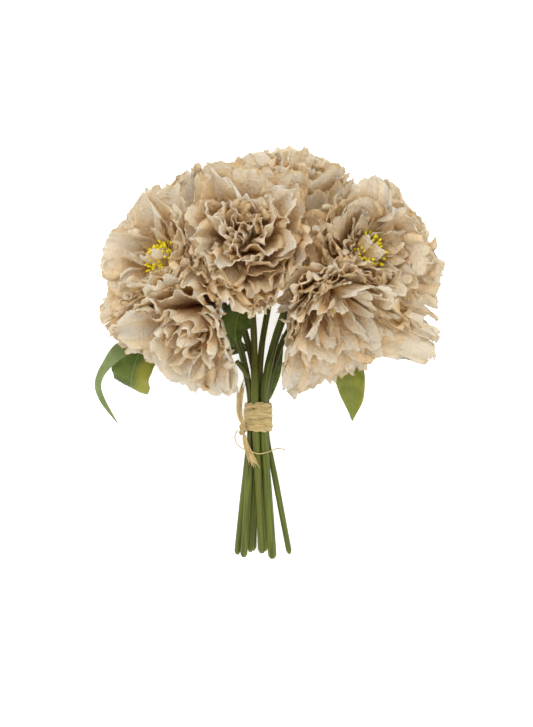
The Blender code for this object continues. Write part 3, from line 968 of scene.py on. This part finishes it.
def add_wound_ribbon(shapes, rng, middle, radius, half_width, tilt):
    """Adds one turn of a raffia ribbon round the stems, with folds along its length."""
    count, around = 84, 16
    turn, cross = -turns_round(count)[:, None], turns_round(around)
    side = np.cos(cross)
    phase = rng.uniform(0, 2 * math.pi)
    ring = (turn / (2 * math.pi)) % 1
    folds = 0.22 * MM * np.sin(side * rng.uniform(4, 7) + 1.5 * np.sin(turn + phase))
    loose = 0.22 * MM * (np.sin(2 * turn + phase) + np.sin(5 * turn + 2 * phase))
    out = radius * MM + loose + folds + 0.16 * MM * np.sin(cross)
    width = half_width * MM * (1 + 0.16 * np.sin(3 * turn + phase) + 0.08 * np.sin(8 * turn + 3 * phase))
    along = TIE_MIDDLE + middle * MM + tilt * MM * np.sin(turn + phase) + side * width
    along = along + 0.25 * MM * np.sin(11 * turn + 5 * side + phase)
    points = np.stack([out * np.cos(turn), along, out * np.sin(turn)], -1)
    quads, _ = tube_faces(count, around, joined=True)
    flat = np.stack([side * width, np.abs(ring - 0.5) * 2 * math.pi * out], -1)
    shapes.add(points, quads, flat=flat, tone=rng.uniform(0, 1))


def band_piece():
    """The band of raffia ribbons round the stems."""
    rng = np.random.default_rng(BAND_SEED)
    shapes = Shapes()
    for middle, radius, half_width, tilt in RIBBONS:
        add_wound_ribbon(shapes, rng, middle, radius, half_width, tilt)
    finish_piece(shapes.object("tie_band_ribbons", LOOKS["raffia"]), "raffia", "tie_band")


def add_fibre(shapes, rng, route, half_width, half_thickness, curl):
    """Adds one split strand of raffia that tapers at its ends and wanders from the route by curl."""
    far = lengths_along(route)
    share = (far / far[-1])[:, None]
    aside = np.stack([wave(rng, 0.5, 2.5, 4)(share[:, 0]) for _ in range(3)], -1) * curl * MM
    route = route + aside * np.minimum(share * 3, 1)
    taper = np.clip(np.minimum(far, (far[-1] - far) * 0.6) / (3 * MM), 0.25, 1)
    side = unit(np.array([1.0, 0.2, rng.normal(0, 0.6)]))
    add_tube(
        shapes, route, half_width * MM * taper, half_thickness * MM * taper, 8, side, tone=rng.uniform(0, 1)
    )


def tail_piece(name, strands, spread, seed, points):
    """A tail of split raffia: strands that leave the knot together and fan out."""
    rng = np.random.default_rng(seed)
    shapes = Shapes()
    route = resampled(smooth_route(points, 8), 40)
    for k in range(strands):
        keep = int(len(route) * rng.uniform(0.8, 1.0))
        share = (np.arange(keep) / len(route))[:, None]
        fan = np.array([rng.normal(0, 1), 0.2 * rng.normal(0, 1), 0.5 * rng.normal(0, 1)])
        near = np.array([rng.normal(0, 0.9), 0, rng.normal(0, 0.5)]) * np.minimum(share * 6, 1)
        strand = route[:keep] + (near + fan * spread * share**1.6) * MM
        add_fibre(shapes, rng, strand, rng.uniform(0.45, 0.95), rng.uniform(0.14, 0.24), 0.35)
    finish_piece(shapes.object(f"{name}_strands", LOOKS["raffia"]), "raffia", name)


def knot_piece():
    """The knot: ribbons wound over each other, around the place where the tails leave."""
    rng = np.random.default_rng(KNOT_SEED)
    shapes = Shapes()
    turn = np.linspace(0, 2 * math.pi, 41)
    for lean, radius, shift in KNOT_LOOPS:
        loop = np.stack([np.cos(turn) * 1.15, np.sin(turn) * 0.55, np.sin(turn) * 0.85], -1) * radius
        loop = loop @ np.array(Matrix.Rotation(lean, 3, "Z")).T + np.array([0, shift, 0])
        loop = loop + 0.25 * np.stack([wave(rng, 1, 3, 3)(turn / 6.3) for _ in range(3)], -1)
        loop = (np.array(KNOT) + loop) * MM
        add_fibre(shapes, rng, loop, rng.uniform(0.9, 1.3), 0.35, 0.05)
    finish_piece(shapes.object("tie_knot_ribbons", LOOKS["raffia"]), "raffia", "tie_knot")


def loose_fibre_piece():
    """The thin fibre that hangs off the knot and crosses the stems."""
    route = smooth_route(FIBRE, 6)
    shapes = Shapes()
    add_tube(shapes, route, FIBRE_RADIUS, FIBRE_RADIUS, around=8, side=(0.0, 0.0, 1.0), tone=0.8)
    piece = shapes.object("tie_fibre_thread", LOOKS["raffia"])
    finish_piece(piece, "raffia", "tie_fibre")
    path = moved(BUNCH, route)
    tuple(path[0])


# How thick each stalk is and where along it its joint lies, in mm
STEMS = {
    "left": (2.5, 84), "right": (2.1, 78), "front": (2.7, 139), "low_left": (2.6, 60),
    "low_right": (3.0, 150), "top": (2.5, 96), "back_left": (2.5, 70), "back_right": (2.6, 110),
}

# Side shoots as (the points they pass through, radius), in mm
SHOOTS = {
    "leaf_shoot_left": ([(-20.6, 171.2, -6), (-40, 171.4, -5), (-62, 169.5, -4), (-83, 165.4, -4)], 1.3),
    "leaf_shoot_right": ([(26.4, 173.4, -4.6), (40, 168.6, -5), (55, 165.8, -5), (68, 162, -4.6)], 1.3),
    "cut_side_shoot": ([(-7, 138, 7), (-11.4, 144.5, 8), (-16.6, 151, 9)], 1.9),
}

# Leaves, in mm. outline lists (share of the length, share of the half width); side is the way the blade's
# right-hand margin points; veins is the distance between side veins; patch is how far to the right the
# yellow-green patch begins, from -1 to 1.
POINTED = ((0, 0.16), (0.12, 0.5), (0.4, 1.0), (0.7, 0.74), (0.9, 0.26), (1, 0.02))
STRAP = ((0, 0.5), (0.12, 0.9), (0.28, 1.0), (0.5, 0.55), (0.78, 0.34), (1, 0.03))
ROUNDED = ((0, 0.55), (0.14, 0.9), (0.4, 1.0), (0.66, 1.0), (0.86, 0.8), (1, 0.3))
SHOULDERED = ((0, 0.3), (0.3, 0.8), (0.62, 1.0), (0.7, 1.02), (0.8, 0.62), (0.92, 0.42), (1, 0.05))
LEAVES = {
    "long_left": dict(
        route=[
            (-84, 167, -1.9), (-103.5, 159, 5), (-116, 146, 8), (-121.5, 133.5, 9), (-118, 121, 8),
            (-107, 103.5, 6),
        ],
        outline=STRAP, half=6.0, side=(0.7, -0.7, 0.2), fold=0.35, curl=0.1, veins=9, patch=2, tone=0.9,
        look="pale_leaf",
    ),
    "broad_left": dict(
        route=[
            (-86, 168, -6), (-91, 157, -3), (-95, 146, -2), (-97, 137, -4), (-97.5, 130.5, -10),
            (-97, 132, -18),
        ],
        outline=ROUNDED, half=16.5, side=(1, 0.45, 0.1), fold=0.12, curl=-0.1, veins=6, patch=0.1, tone=0.5,
        look="leaf",
    ),
    "right": dict(
        route=[(69.6, 162.4, -4.6), (69.5, 152, 1), (70.5, 138, 2.5), (72.5, 122, 2), (72, 105, 0)],
        outline=POINTED, half=11.5, side=(1, 0.1, 0.15), fold=0.3, curl=-0.1, veins=7, patch=0.9, tone=0.75,
        look="sunny_leaf",
    ),
    "middle": dict(
        route=[(-8, 202, 13), (-11, 194, 22), (-15, 184, 28), (-17, 173, 30), (-16, 164, 29)],
        outline=SHOULDERED, half=12, side=(1, 0, 0.1), fold=0.1, curl=0.05, veins=6, patch=1.6, tone=0.2,
        look="leaf",
    ),
    "stem_right": dict(
        route=[(8.4, 121.6, -6), (11.2, 134, -6), (14.5, 150, -7), (19, 172, -9)],
        outline=POINTED, half=4.4, side=(1, -0.3, 0.1), fold=0.5, curl=0, veins=7, patch=1.2, tone=0.1,
        look="leaf",
    ),
    "back": dict(
        route=[(-7.9, 160, -9), (-22, 162.5, -17), (-38, 159, -25), (-56, 152, -33)],
        outline=POINTED, half=10, side=(0.1, -1, 0.1), fold=0.3, curl=0, veins=6, patch=1.2, tone=0.4,
        look="leaf",
    ),
}

# Ribbons of the tie, from the inside out: where along the band, radius, half width and slant, in mm
RIBBONS = (
    (-6.5, 10.0, 3.6, 0.6), (0.5, 10.0, 4.0, 0.8), (7.0, 10.0, 3.6, -0.6), (-8.0, 10.5, 2.4, 0.5),
    (3.5, 10.6, 3.0, 1.6), (-3.0, 10.6, 3.2, -1.8), (8.4, 10.5, 2.2, 0.3), (-6.0, 10.9, 1.6, 1.2),
    (1.0, 11.0, 1.8, 2.4), (5.6, 10.9, 1.6, -1.0),
)

# The knot's place and its loops, each with its lean in radians, its radius and its shift, in mm
KNOT = (-11.6, 98.0, 8.8)
KNOT_LOOPS = ((0.2, 2.2, -1.2), (1.0, 2.6, 0.2), (-0.7, 2.5, 1.0), (1.9, 2.0, 0.0))
BAND_SEED = 41
KNOT_SEED = 43

# The two tails of split raffia: how many strands, how far they fan out, a seed, and the route in mm
TAILS = {
    "tie_tail_up": (9, 1.2, 44, [
        (-11.6, 99.5, 9.4), (-11.6, 103.5, 9.4), (-13.6, 110, 8.6), (-14.2, 120, 8.2), (-13.0, 130, 8.6),
        (-10.6, 139, 9.6),
    ]),
    "tie_tail_down": (12, 1.8, 45, [
        (-10.9, 97, 9.6), (-9.9, 93, 10), (-8.6, 87, 11.2), (-6.2, 80, 11.6), (-3.4, 73, 11.6),
        (-1.6, 68, 11.6),
    ]),
}

# The loose fibre, in mm
FIBRE_RADIUS = 0.4 * MM
FIBRE = [
    (-15.7, 98.2, 9.4), (-17.6, 93.6, 9.6), (-16.4, 88.4, 10.8), (-12.2, 84.6, 12.8), (-6.4, 82.6, 13.9),
    (0.4, 80.4, 10.6), (7.4, 81.6, 9.4), (14.4, 84.2, 8.6), (20.6, 83.4, 7.8),
]


# Materials


def new_material(name, roughness):
    """A new material, its nodes and its main shader."""
    made = bpy.data.materials.new(name)
    made.use_nodes = True
    shader = made.node_tree.nodes["Principled BSDF"]
    set_inputs(shader, {"Roughness": roughness})
    return made, made.node_tree, shader


def object_place(tree):
    """The place in the object's own space."""
    return add_node(tree, "ShaderNodeTexCoord").outputs["Object"]


def sheet_place(tree):
    """The place on the flat layout of a sheet or a strip, in cm."""
    return add_node(tree, "ShaderNodeUVMap", uv_map="sheet").outputs["UV"]


def ramp(tree, value, low, high):
    """0 below low, 1 above high, smooth between."""
    made = add_node(tree, "ShaderNodeMapRange", interpolation_type="SMOOTHSTEP")
    wire(tree, value, made, "Value")
    set_inputs(made, {"From Min": low, "From Max": high})
    return made.outputs["Result"]


def mixed(tree, share, first, second):
    """A blend of two colours. The share and the colours are each a value or a socket."""
    made = add_node(tree, "ShaderNodeMix", data_type="RGBA")
    for socket, value in ((0, share), (6, first), (7, second)):
        if isinstance(value, (tuple, float)):
            made.inputs[socket].default_value = (*value, 1.0) if isinstance(value, tuple) else value
        else:
            wire(tree, value, made, socket)
    return made.outputs[2]


def tinted(tree, body, mask, share, colour):
    """A body colour with some of another one where the mask is high."""
    return mixed(tree, math_node(tree, "MULTIPLY", mask, share), body, colour)


def attribute(tree, name):
    """What the mesh says about each place, such as how near the margin is."""
    return add_node(tree, "ShaderNodeAttribute", attribute_name=name).outputs["Fac"]


def shader_group(name, inputs, outputs):
    """An empty group of shader nodes with number and place inputs and number outputs."""
    tree = bpy.data.node_groups.new(name, "ShaderNodeTree")
    for label, value in inputs:
        kind = "NodeSocketVector" if value is None else "NodeSocketFloat"
        socket = tree.interface.new_socket(name=label, in_out="INPUT", socket_type=kind)
        if value is not None:
            socket.default_value = value
    for label in outputs:
        tree.interface.new_socket(name=label, in_out="OUTPUT", socket_type="NodeSocketFloat")
    return tree, add_node(tree, "NodeGroupInput"), add_node(tree, "NodeGroupOutput")


def mottling_group():
    """Soft blotches and fine specks."""
    tree, given, out = shader_group(
        "mottling", (("Place", None), ("Blotch Scale", 70.0), ("Speck Scale", 420.0)), ("Blotches", "Specks")
    )
    kinds = (("Blotch Scale", 4, 0.6, "Blotches"), ("Speck Scale", 3, 0, "Specks"))
    for scale, detail, distortion, label in kinds:
        noise = add_node(tree, "ShaderNodeTexNoise")
        set_inputs(noise, {"Detail": detail, "Distortion": distortion})
        wire(tree, given.outputs["Place"], noise, "Vector")
        wire(tree, given.outputs[scale], noise, "Scale")
        wire(tree, noise, out, label)
    return tree


def streak_group():
    """Fine streaks that run along a strip, from its own flat layout."""
    tree, given, out = shader_group(
        "streaks", (("Place", None), ("Across", 20.0), ("Along", 1.0), ("Seed", 0.0)), ("Streaks",)
    )
    split = add_node(tree, "ShaderNodeSeparateXYZ")
    wire(tree, given.outputs["Place"], split, 0)
    place = add_node(tree, "ShaderNodeCombineXYZ")
    for axis, pace in (("X", "Across"), ("Y", "Along")):
        wire(tree, math_node(tree, "MULTIPLY", split.outputs[axis], given.outputs[pace]), place, axis)
    wire(tree, given.outputs["Seed"], place, "Z")
    noise = add_node(tree, "ShaderNodeTexNoise")
    set_inputs(noise, {"Scale": 1.0, "Detail": 3.0})
    wire(tree, place, noise, "Vector")
    wire(tree, noise, out, "Streaks")
    return tree


def crinkle_group():
    """The height of crinkled cloth: faint lengthwise veins, a fine grain and short sharp creases."""
    tree, given, out = shader_group(
        "crinkles",
        (
            ("Place", None), ("Flat Place", None), ("Crease Scale", 260.0), ("Crease Share", 0.6),
            ("Vein Share", 0.5),
        ),
        ("Height",),
    )
    crease = add_node(tree, "ShaderNodeTexVoronoi", feature="DISTANCE_TO_EDGE")
    wire(tree, given.outputs["Crease Scale"], crease, "Scale")
    wire(tree, given.outputs["Place"], crease, "Vector")
    grain = add_node(tree, "ShaderNodeGroup", node_tree=MOTTLING)
    wire(tree, given.outputs["Place"], grain, "Place")
    veins = add_node(tree, "ShaderNodeGroup", node_tree=STREAKS)
    set_inputs(veins, {"Across": 11.0, "Along": 2.0})
    wire(tree, given.outputs["Flat Place"], veins, "Place")
    height = math_node(tree, "MULTIPLY", veins, given.outputs["Vein Share"])
    height = math_node(tree, "ADD", height, grain.outputs["Specks"])
    creases = math_node(tree, "MULTIPLY", crease.outputs["Distance"], given.outputs["Crease Share"])
    wire(tree, math_node(tree, "ADD", height, creases), out, "Height")
    return tree


def group_node(tree, group, place=None, **values):
    """A shader group in a material, with its inputs given by name."""
    made = add_node(tree, "ShaderNodeGroup", node_tree=group)
    wire(tree, place or object_place(tree), made, "Place")
    for key, value in values.items():
        label = key.replace("_", " ").title()
        if isinstance(value, (int, float)):
            made.inputs[label].default_value = value
        else:
            wire(tree, value, made, label)
    return made


def add_bump(tree, shader, height, distance, strength=1.0):
    """Gives a shader fine relief."""
    bump = add_node(tree, "ShaderNodeBump")
    set_inputs(bump, {"Strength": strength, "Distance": distance})
    wire(tree, height, bump, "Height")
    wire(tree, bump, shader, "Normal")


def see_through(tree, shader, colour, share):
    """Lets some of the light from behind through a thin sheet."""
    glow = add_node(tree, "ShaderNodeBsdfTranslucent")
    wire(tree, colour, glow, "Color")
    blend = add_node(tree, "ShaderNodeMixShader")
    set_inputs(blend, {0: share})
    wire(tree, shader, blend, 1)
    wire(tree, glow, blend, 2)
    wire(tree, blend, tree.nodes["Material Output"], "Surface")


def petal_material(name, ridge_highlight, margin_highlight, rim):
    """Crinkled cream cloth. Its colour holds painted shade, tan and brown, in the valleys of its ruffles,
    where other petals shut it in and deep at its base, and painted light where it is open. After the name
    come how much painted highlight the ridges get, how much painted highlight the margin gets, and how
    strongly the outermost margin is tanned."""
    made, tree, shader = new_material(name, 0.7)
    mottling = group_node(tree, MOTTLING, blotch_scale=62.0, speck_scale=520.0)
    small = group_node(tree, MOTTLING, blotch_scale=260.0, speck_scale=900.0)
    blotches = ramp(tree, mottling.outputs["Blotches"], 0.38, 0.72)
    patches = ramp(tree, small.outputs["Blotches"], 0.45, 0.63)
    ridge, edge, shut_in = (attribute(tree, look) for look in ("ridge", "edge", "shut_in"))
    body = mixed(tree, math_node(tree, "MULTIPLY", blotches, 0.6), CREAM, BEIGE)
    body = tinted(tree, body, attribute(tree, "tone"), 0.4, BEIGE)
    body = tinted(tree, body, patches, 0.5, BEIGE)
    flat = sheet_place(tree)
    streaks = group_node(tree, STREAKS, flat, across=5.5, along=0.7)
    body = tinted(tree, body, ramp(tree, streaks, 0.44, 0.62), 0.5, BEIGE)
    # painted highlight on the ridges of the ruffles
    body = tinted(tree, body, ramp(tree, ridge, 0.45, 0.9), ridge_highlight, HIGHLIGHT_CREAM)
    # painted highlight along the margin
    body = tinted(tree, body, edge, margin_highlight, HIGHLIGHT_CREAM)
    # painted shade in the valleys of the ruffles
    body = tinted(tree, body, ramp(tree, ridge, 0.5, 0.05), 0.5, SHADE_TAN)
    # painted light where the petal is open
    body = tinted(tree, body, ramp(tree, shut_in, 0.8, 0.3), 0.75, LIT_OPEN_CREAM)
    # painted shade where other petals shut the petal in
    body = tinted(tree, body, ramp(tree, shut_in, 0.6, 1.0), 0.85, SHADE_TAN)
    ragged = math_node(tree, "ADD", edge, math_node(tree, "MULTIPLY", small.outputs["Specks"], 0.6))
    ragged = math_node(tree, "ADD", ragged, math_node(tree, "MULTIPLY", blotches, 0.45))
    body = tinted(tree, body, ramp(tree, ragged, 0.95, 1.45), rim, GOLD)
    # painted shade: brown deep at the base of petals, where they are shut in
    root = ramp(tree, attribute(tree, "root"), 0.3, 0.9)
    root = math_node(tree, "MULTIPLY", root, ramp(tree, shut_in, 0.4, 0.9))
    body = tinted(tree, body, root, 0.9, DEEP_SHADE_BROWN)
    wire(tree, body, shader, "Base Color")
    set_inputs(shader, {"Sheen Weight": 0.12, "Sheen Roughness": 0.6})
    crinkles = group_node(tree, CRINKLES, flat_place=flat, crease_scale=250.0, crease_share=1.0)
    add_bump(tree, shader, crinkles, 1.3 * MM)
    see_through(tree, shader, mixed(tree, 0.6, body, AMBER), 0.42)
    return made


def leaf_material(name, dark, light, patch):
    """A leaf with a pale midrib, side veins and a yellow-green patch."""
    made, tree, shader = new_material(name, 0.45)
    set_inputs(shader, {"Specular IOR Level": DULL})
    flat = sheet_place(tree)
    split = add_node(tree, "ShaderNodeSeparateXYZ")
    wire(tree, flat, split, 0)
    aside = math_node(tree, "ABSOLUTE", split.outputs["X"])
    slanted = math_node(tree, "SUBTRACT", split.outputs["Y"], math_node(tree, "MULTIPLY", aside, 1.1))
    saw = math_node(tree, "FRACT", math_node(tree, "MULTIPLY", slanted, 1.6))
    from_vein = math_node(tree, "ABSOLUTE", math_node(tree, "SUBTRACT", saw, 0.5))
    vein = ramp(tree, from_vein, 0.07, 0.0)
    midrib = ramp(tree, aside, 0.07, 0.02)
    streaks = group_node(tree, STREAKS, flat, across=22.0, along=1.6)
    mottling = group_node(tree, MOTTLING, blotch_scale=90.0, speck_scale=600.0)
    body = mixed(tree, ramp(tree, mottling.outputs["Blotches"], 0.3, 0.75), dark, light)
    body = tinted(tree, body, attribute(tree, "tone"), 0.45, light)
    body = tinted(tree, body, attribute(tree, "patch"), 0.8, patch)
    body = tinted(tree, body, ramp(tree, streaks, 0.45, 0.75), 0.3, light)
    lines = math_node(tree, "MULTIPLY", vein, 0.22)
    lines = math_node(tree, "MAXIMUM", lines, math_node(tree, "MULTIPLY", midrib, 0.5))
    body = mixed(tree, lines, body, LEAF_VEIN)
    wire(tree, body, shader, "Base Color")
    height = math_node(tree, "MULTIPLY", streaks, 0.5)
    height = math_node(tree, "SUBTRACT", height, math_node(tree, "MULTIPLY", vein, 0.5))
    height = math_node(tree, "SUBTRACT", height, midrib)
    add_bump(tree, shader, height, 0.25 * MM, 0.7)
    see_through(tree, shader, body, 0.15)
    return made


def stem_material():
    """A green stalk with lengthwise streaks, fresher below its joint, with a drier cut end."""
    made, tree, shader = new_material("stalk_green", 0.5)
    set_inputs(shader, {"Specular IOR Level": DULL})
    flat = sheet_place(tree)
    tone = attribute(tree, "tone")
    seed = math_node(tree, "MULTIPLY", tone, 9.0)
    streaks = group_node(tree, STREAKS, flat, across=9.0, along=0.35, seed=seed)
    mottling = group_node(tree, MOTTLING, blotch_scale=110.0, speck_scale=700.0)
    body = mixed(tree, ramp(tree, streaks, 0.36, 0.64), STEM_DARK, STEM_LIGHT)
    body = tinted(tree, body, tone, 0.5, STEM_OLIVE)
    body = tinted(tree, body, attribute(tree, "fresh"), 0.35, STEM_FRESH)
    body = tinted(tree, body, ramp(tree, mottling.outputs["Blotches"], 0.55, 0.8), 0.4, STEM_OLIVE)
    body = tinted(tree, body, ramp(tree, attribute(tree, "dry"), 0.5, 1.0), 0.7, STEM_CUT)
    wire(tree, body, shader, "Base Color")
    height = math_node(tree, "ADD", streaks, math_node(tree, "MULTIPLY", mottling.outputs["Specks"], 0.4))
    add_bump(tree, shader, height, 0.3 * MM, 0.6)
    return made


def raffia_material():
    """Straw-coloured raffia with fine fibres along its length."""
    made, tree, shader = new_material("raffia_straw", 0.62)
    flat = sheet_place(tree)
    tone = attribute(tree, "tone")
    seed = math_node(tree, "MULTIPLY", tone, 17.0)
    fibres = group_node(tree, STREAKS, flat, across=38.0, along=1.4, seed=seed)
    broad = group_node(tree, STREAKS, flat, across=11.0, along=0.8, seed=seed)
    body = mixed(tree, ramp(tree, fibres, 0.3, 0.7), STRAW_DARK, STRAW_LIGHT)
    body = tinted(tree, body, ramp(tree, broad, 0.5, 0.75), 0.55, STRAW_GOLD)
    body = tinted(tree, body, tone, 0.35, STRAW_LIGHT)
    wire(tree, body, shader, "Base Color")
    height = math_node(tree, "ADD", fibres, math_node(tree, "MULTIPLY", broad, 0.8))
    add_bump(tree, shader, height, 0.3 * MM, 0.9)
    return made


def pollen_material(name, first, second, roughness):
    """Yellow threads and knobs, lightly mottled and powdery."""
    made, tree, shader = new_material(name, roughness)
    mottling = group_node(tree, MOTTLING, blotch_scale=350.0, speck_scale=2500.0)
    body = mixed(tree, ramp(tree, mottling.outputs["Blotches"], 0.35, 0.65), first, second)
    wire(tree, body, shader, "Base Color")
    add_bump(tree, shader, mottling.outputs["Specks"], 0.15 * MM, 0.8)
    return made


# How shiny greenery is, and the colours of petals, leaves, stems and raffia
DULL = 0.3
# painted highlight for the ridges and margins of petals
HIGHLIGHT_CREAM = (0.88, 0.86, 0.78)
# painted light for the open places of petals
LIT_OPEN_CREAM = (0.79, 0.77, 0.68)
CREAM = (0.88, 0.83, 0.70)
BEIGE = (0.84, 0.72, 0.52)
# painted shade for the valleys of ruffles and the places shut in by other petals
SHADE_TAN = (0.92, 0.71, 0.38)
GOLD = (0.72, 0.49, 0.19)
# painted shade deep at the base of petals
DEEP_SHADE_BROWN = (0.82, 0.46, 0.13)
AMBER = (0.97, 0.79, 0.50)
LEAF_VEIN = (0.27, 0.33, 0.10)
# Leaf finishes: a name, the darker and the lighter green, and the yellow-green of the patch
GREENS = {
    "leaf": ("leaf_green", (0.055, 0.085, 0.012), (0.14, 0.19, 0.028), (0.32, 0.30, 0.025)),
    "pale_leaf": ("strap_leaf_green", (0.12, 0.165, 0.05), (0.27, 0.33, 0.13), (0.3, 0.34, 0.1)),
    "sunny_leaf": ("sunny_leaf_green", (0.14, 0.17, 0.02), (0.30, 0.32, 0.05), (0.40, 0.36, 0.04)),
    "calyx": ("calyx_green", (0.07, 0.12, 0.03), (0.17, 0.23, 0.07), (0.3, 0.3, 0.1)),
}
STEM_DARK = (0.022, 0.024, 0.004)
STEM_LIGHT = (0.110, 0.126, 0.012)
STEM_OLIVE = (0.115, 0.098, 0.012)
STEM_FRESH = (0.135, 0.180, 0.020)
STEM_CUT = (0.17, 0.18, 0.05)
STRAW_DARK = (0.27, 0.18, 0.055)
STRAW_LIGHT = (0.66, 0.50, 0.22)
STRAW_GOLD = (0.52, 0.36, 0.11)

MOTTLING = mottling_group()
STREAKS = streak_group()
CRINKLES = crinkle_group()
CRUMPLE = crumple_tree()
STAMENS = stamen_tree()
LOOKS = {
    "guard_petals": petal_material("broad_petal_cloth", 0.6, 0.0, 0.7),
    "inner_petals": petal_material("ruffled_petal_cloth", 0.85, 0.7, 0.1),
    "stem": stem_material(),
    "raffia": raffia_material(),
    "thread": pollen_material("stamen_thread", (0.80, 0.68, 0.22), (0.84, 0.76, 0.38), 0.6),
    "knob": pollen_material("stamen_knob", (0.90, 0.80, 0.012), (0.80, 0.64, 0.008), 0.65),
}
for look, (name, *greens) in GREENS.items():
    LOOKS[look] = leaf_material(name, *greens)


# Camera, lights and floor

# The camera looks at right angles to the stems, at a place of the bunch frame
FOCUS = (6.4 * MM, 148.9 * MM, 30 * MM)
CAMERA_DISTANCE = 1.6
SEEN_HEIGHT = 545.25 * MM
SENSOR = 36.0

# Round lights as (place, size, watts), the place they shine at, and how bright the rest of the room is
LIGHTS = {"key_light": ((-0.6, 0.6, 1.5), 1.2, 9.5), "fill_light": ((0.7, -0.9, 1.5), 1.8, 5)}
LIT_PLACE = (0, 0, 0.05)
ROOM_STRENGTH = 1.1
FLOOR_HALF_SIZE = 4
FLOOR_WHITE = (0.93, 0.93, 0.93, 1)
FLOOR_GLOW = 0.45


def aimed(name, data, place, way):
    """A camera or a light at a place, looking along a way."""
    thing = link(bpy.data.objects.new(name, data))
    thing.location = place
    thing.rotation_mode = "QUATERNION"
    thing.rotation_quaternion = way.to_track_quat("-Z", "Y")
    return thing


def make_camera():
    """The camera above the bunch. The lens shows as much as SEEN_HEIGHT at the camera's distance."""
    data = bpy.data.cameras.new("camera")
    data.sensor_width = SENSOR
    data.lens = SENSOR * CAMERA_DISTANCE / SEEN_HEIGHT
    back = (BUNCH.to_3x3() @ Vector((0, 0, 1))).normalized()
    place = BUNCH @ Vector(FOCUS) + back * CAMERA_DISTANCE
    bpy.context.scene.camera = aimed("camera", data, place, -back)


def make_studio():
    """Soft lights, a bright room and a pale floor."""
    for name, (place, size, watts) in LIGHTS.items():
        data = bpy.data.lights.new(name, "AREA")
        data.shape = "DISK"
        data.size = size
        data.energy = watts
        aimed(name, data, place, Vector(LIT_PLACE) - Vector(place))
    world = bpy.data.worlds.new("studio")
    world.use_nodes = True
    set_inputs(world.node_tree.nodes["Background"], {"Color": (1, 1, 1, 1), "Strength": ROOM_STRENGTH})
    bpy.context.scene.world = world
    bm = bmesh.new()
    bmesh.ops.create_grid(bm, x_segments=1, y_segments=1, size=FLOOR_HALF_SIZE)
    data = bpy.data.meshes.new("floor")
    bm.to_mesh(data)
    bm.free()
    floor = link(bpy.data.objects.new("floor", data))
    made, _, shader = new_material("pale_floor", 0.9)
    set_inputs(
        shader, {"Base Color": FLOOR_WHITE, "Emission Color": (1, 1, 1, 1), "Emission Strength": FLOOR_GLOW}
    )
    data.materials.append(made)
    bpy.context.scene.view_settings.view_transform = "Standard"


# Seeds for what is uneven about each cup, stalk and leaf
CUP_SEEDS, STALK_SEEDS, LEAF_SEEDS = 200, 300, 400

make_camera()
make_studio()
GROWN = {}
for number, flower in enumerate(FLOWERS):
    for kind, rings in zip(("guard_petals", "inner_petals"), HABITS[flower]):
        GROWN[flower, kind] = grow_petals(flower, rings, 10 * number + len(rings))
shut_in_look([petal for petals in GROWN.values() for petal in petals])
for seed, ((flower, kind), petals) in enumerate(GROWN.items()):
    petal_piece(f"{flower}_peony_{kind}_cloth", petals, seed, LOOKS[kind], kind, f"{flower}_peony_{kind}")
for number, flower in enumerate(FLOWERS):
    stamen_piece(flower, number, *STAMEN_LENGTHS.get(flower, SHORT_STAMENS))
    calyx_piece(flower, CUP_SEEDS + number)
    stem_piece(flower, STALK_SEEDS + number)
for number, name in enumerate(SHOOTS):
    shoot_piece(name, number)
for number, name in enumerate(LEAVES):
    leaf_piece(name, LEAF_SEEDS + number)
band_piece()
knot_piece()
for name, tail in TAILS.items():
    tail_piece(name, *tail)
loose_fibre_piece()
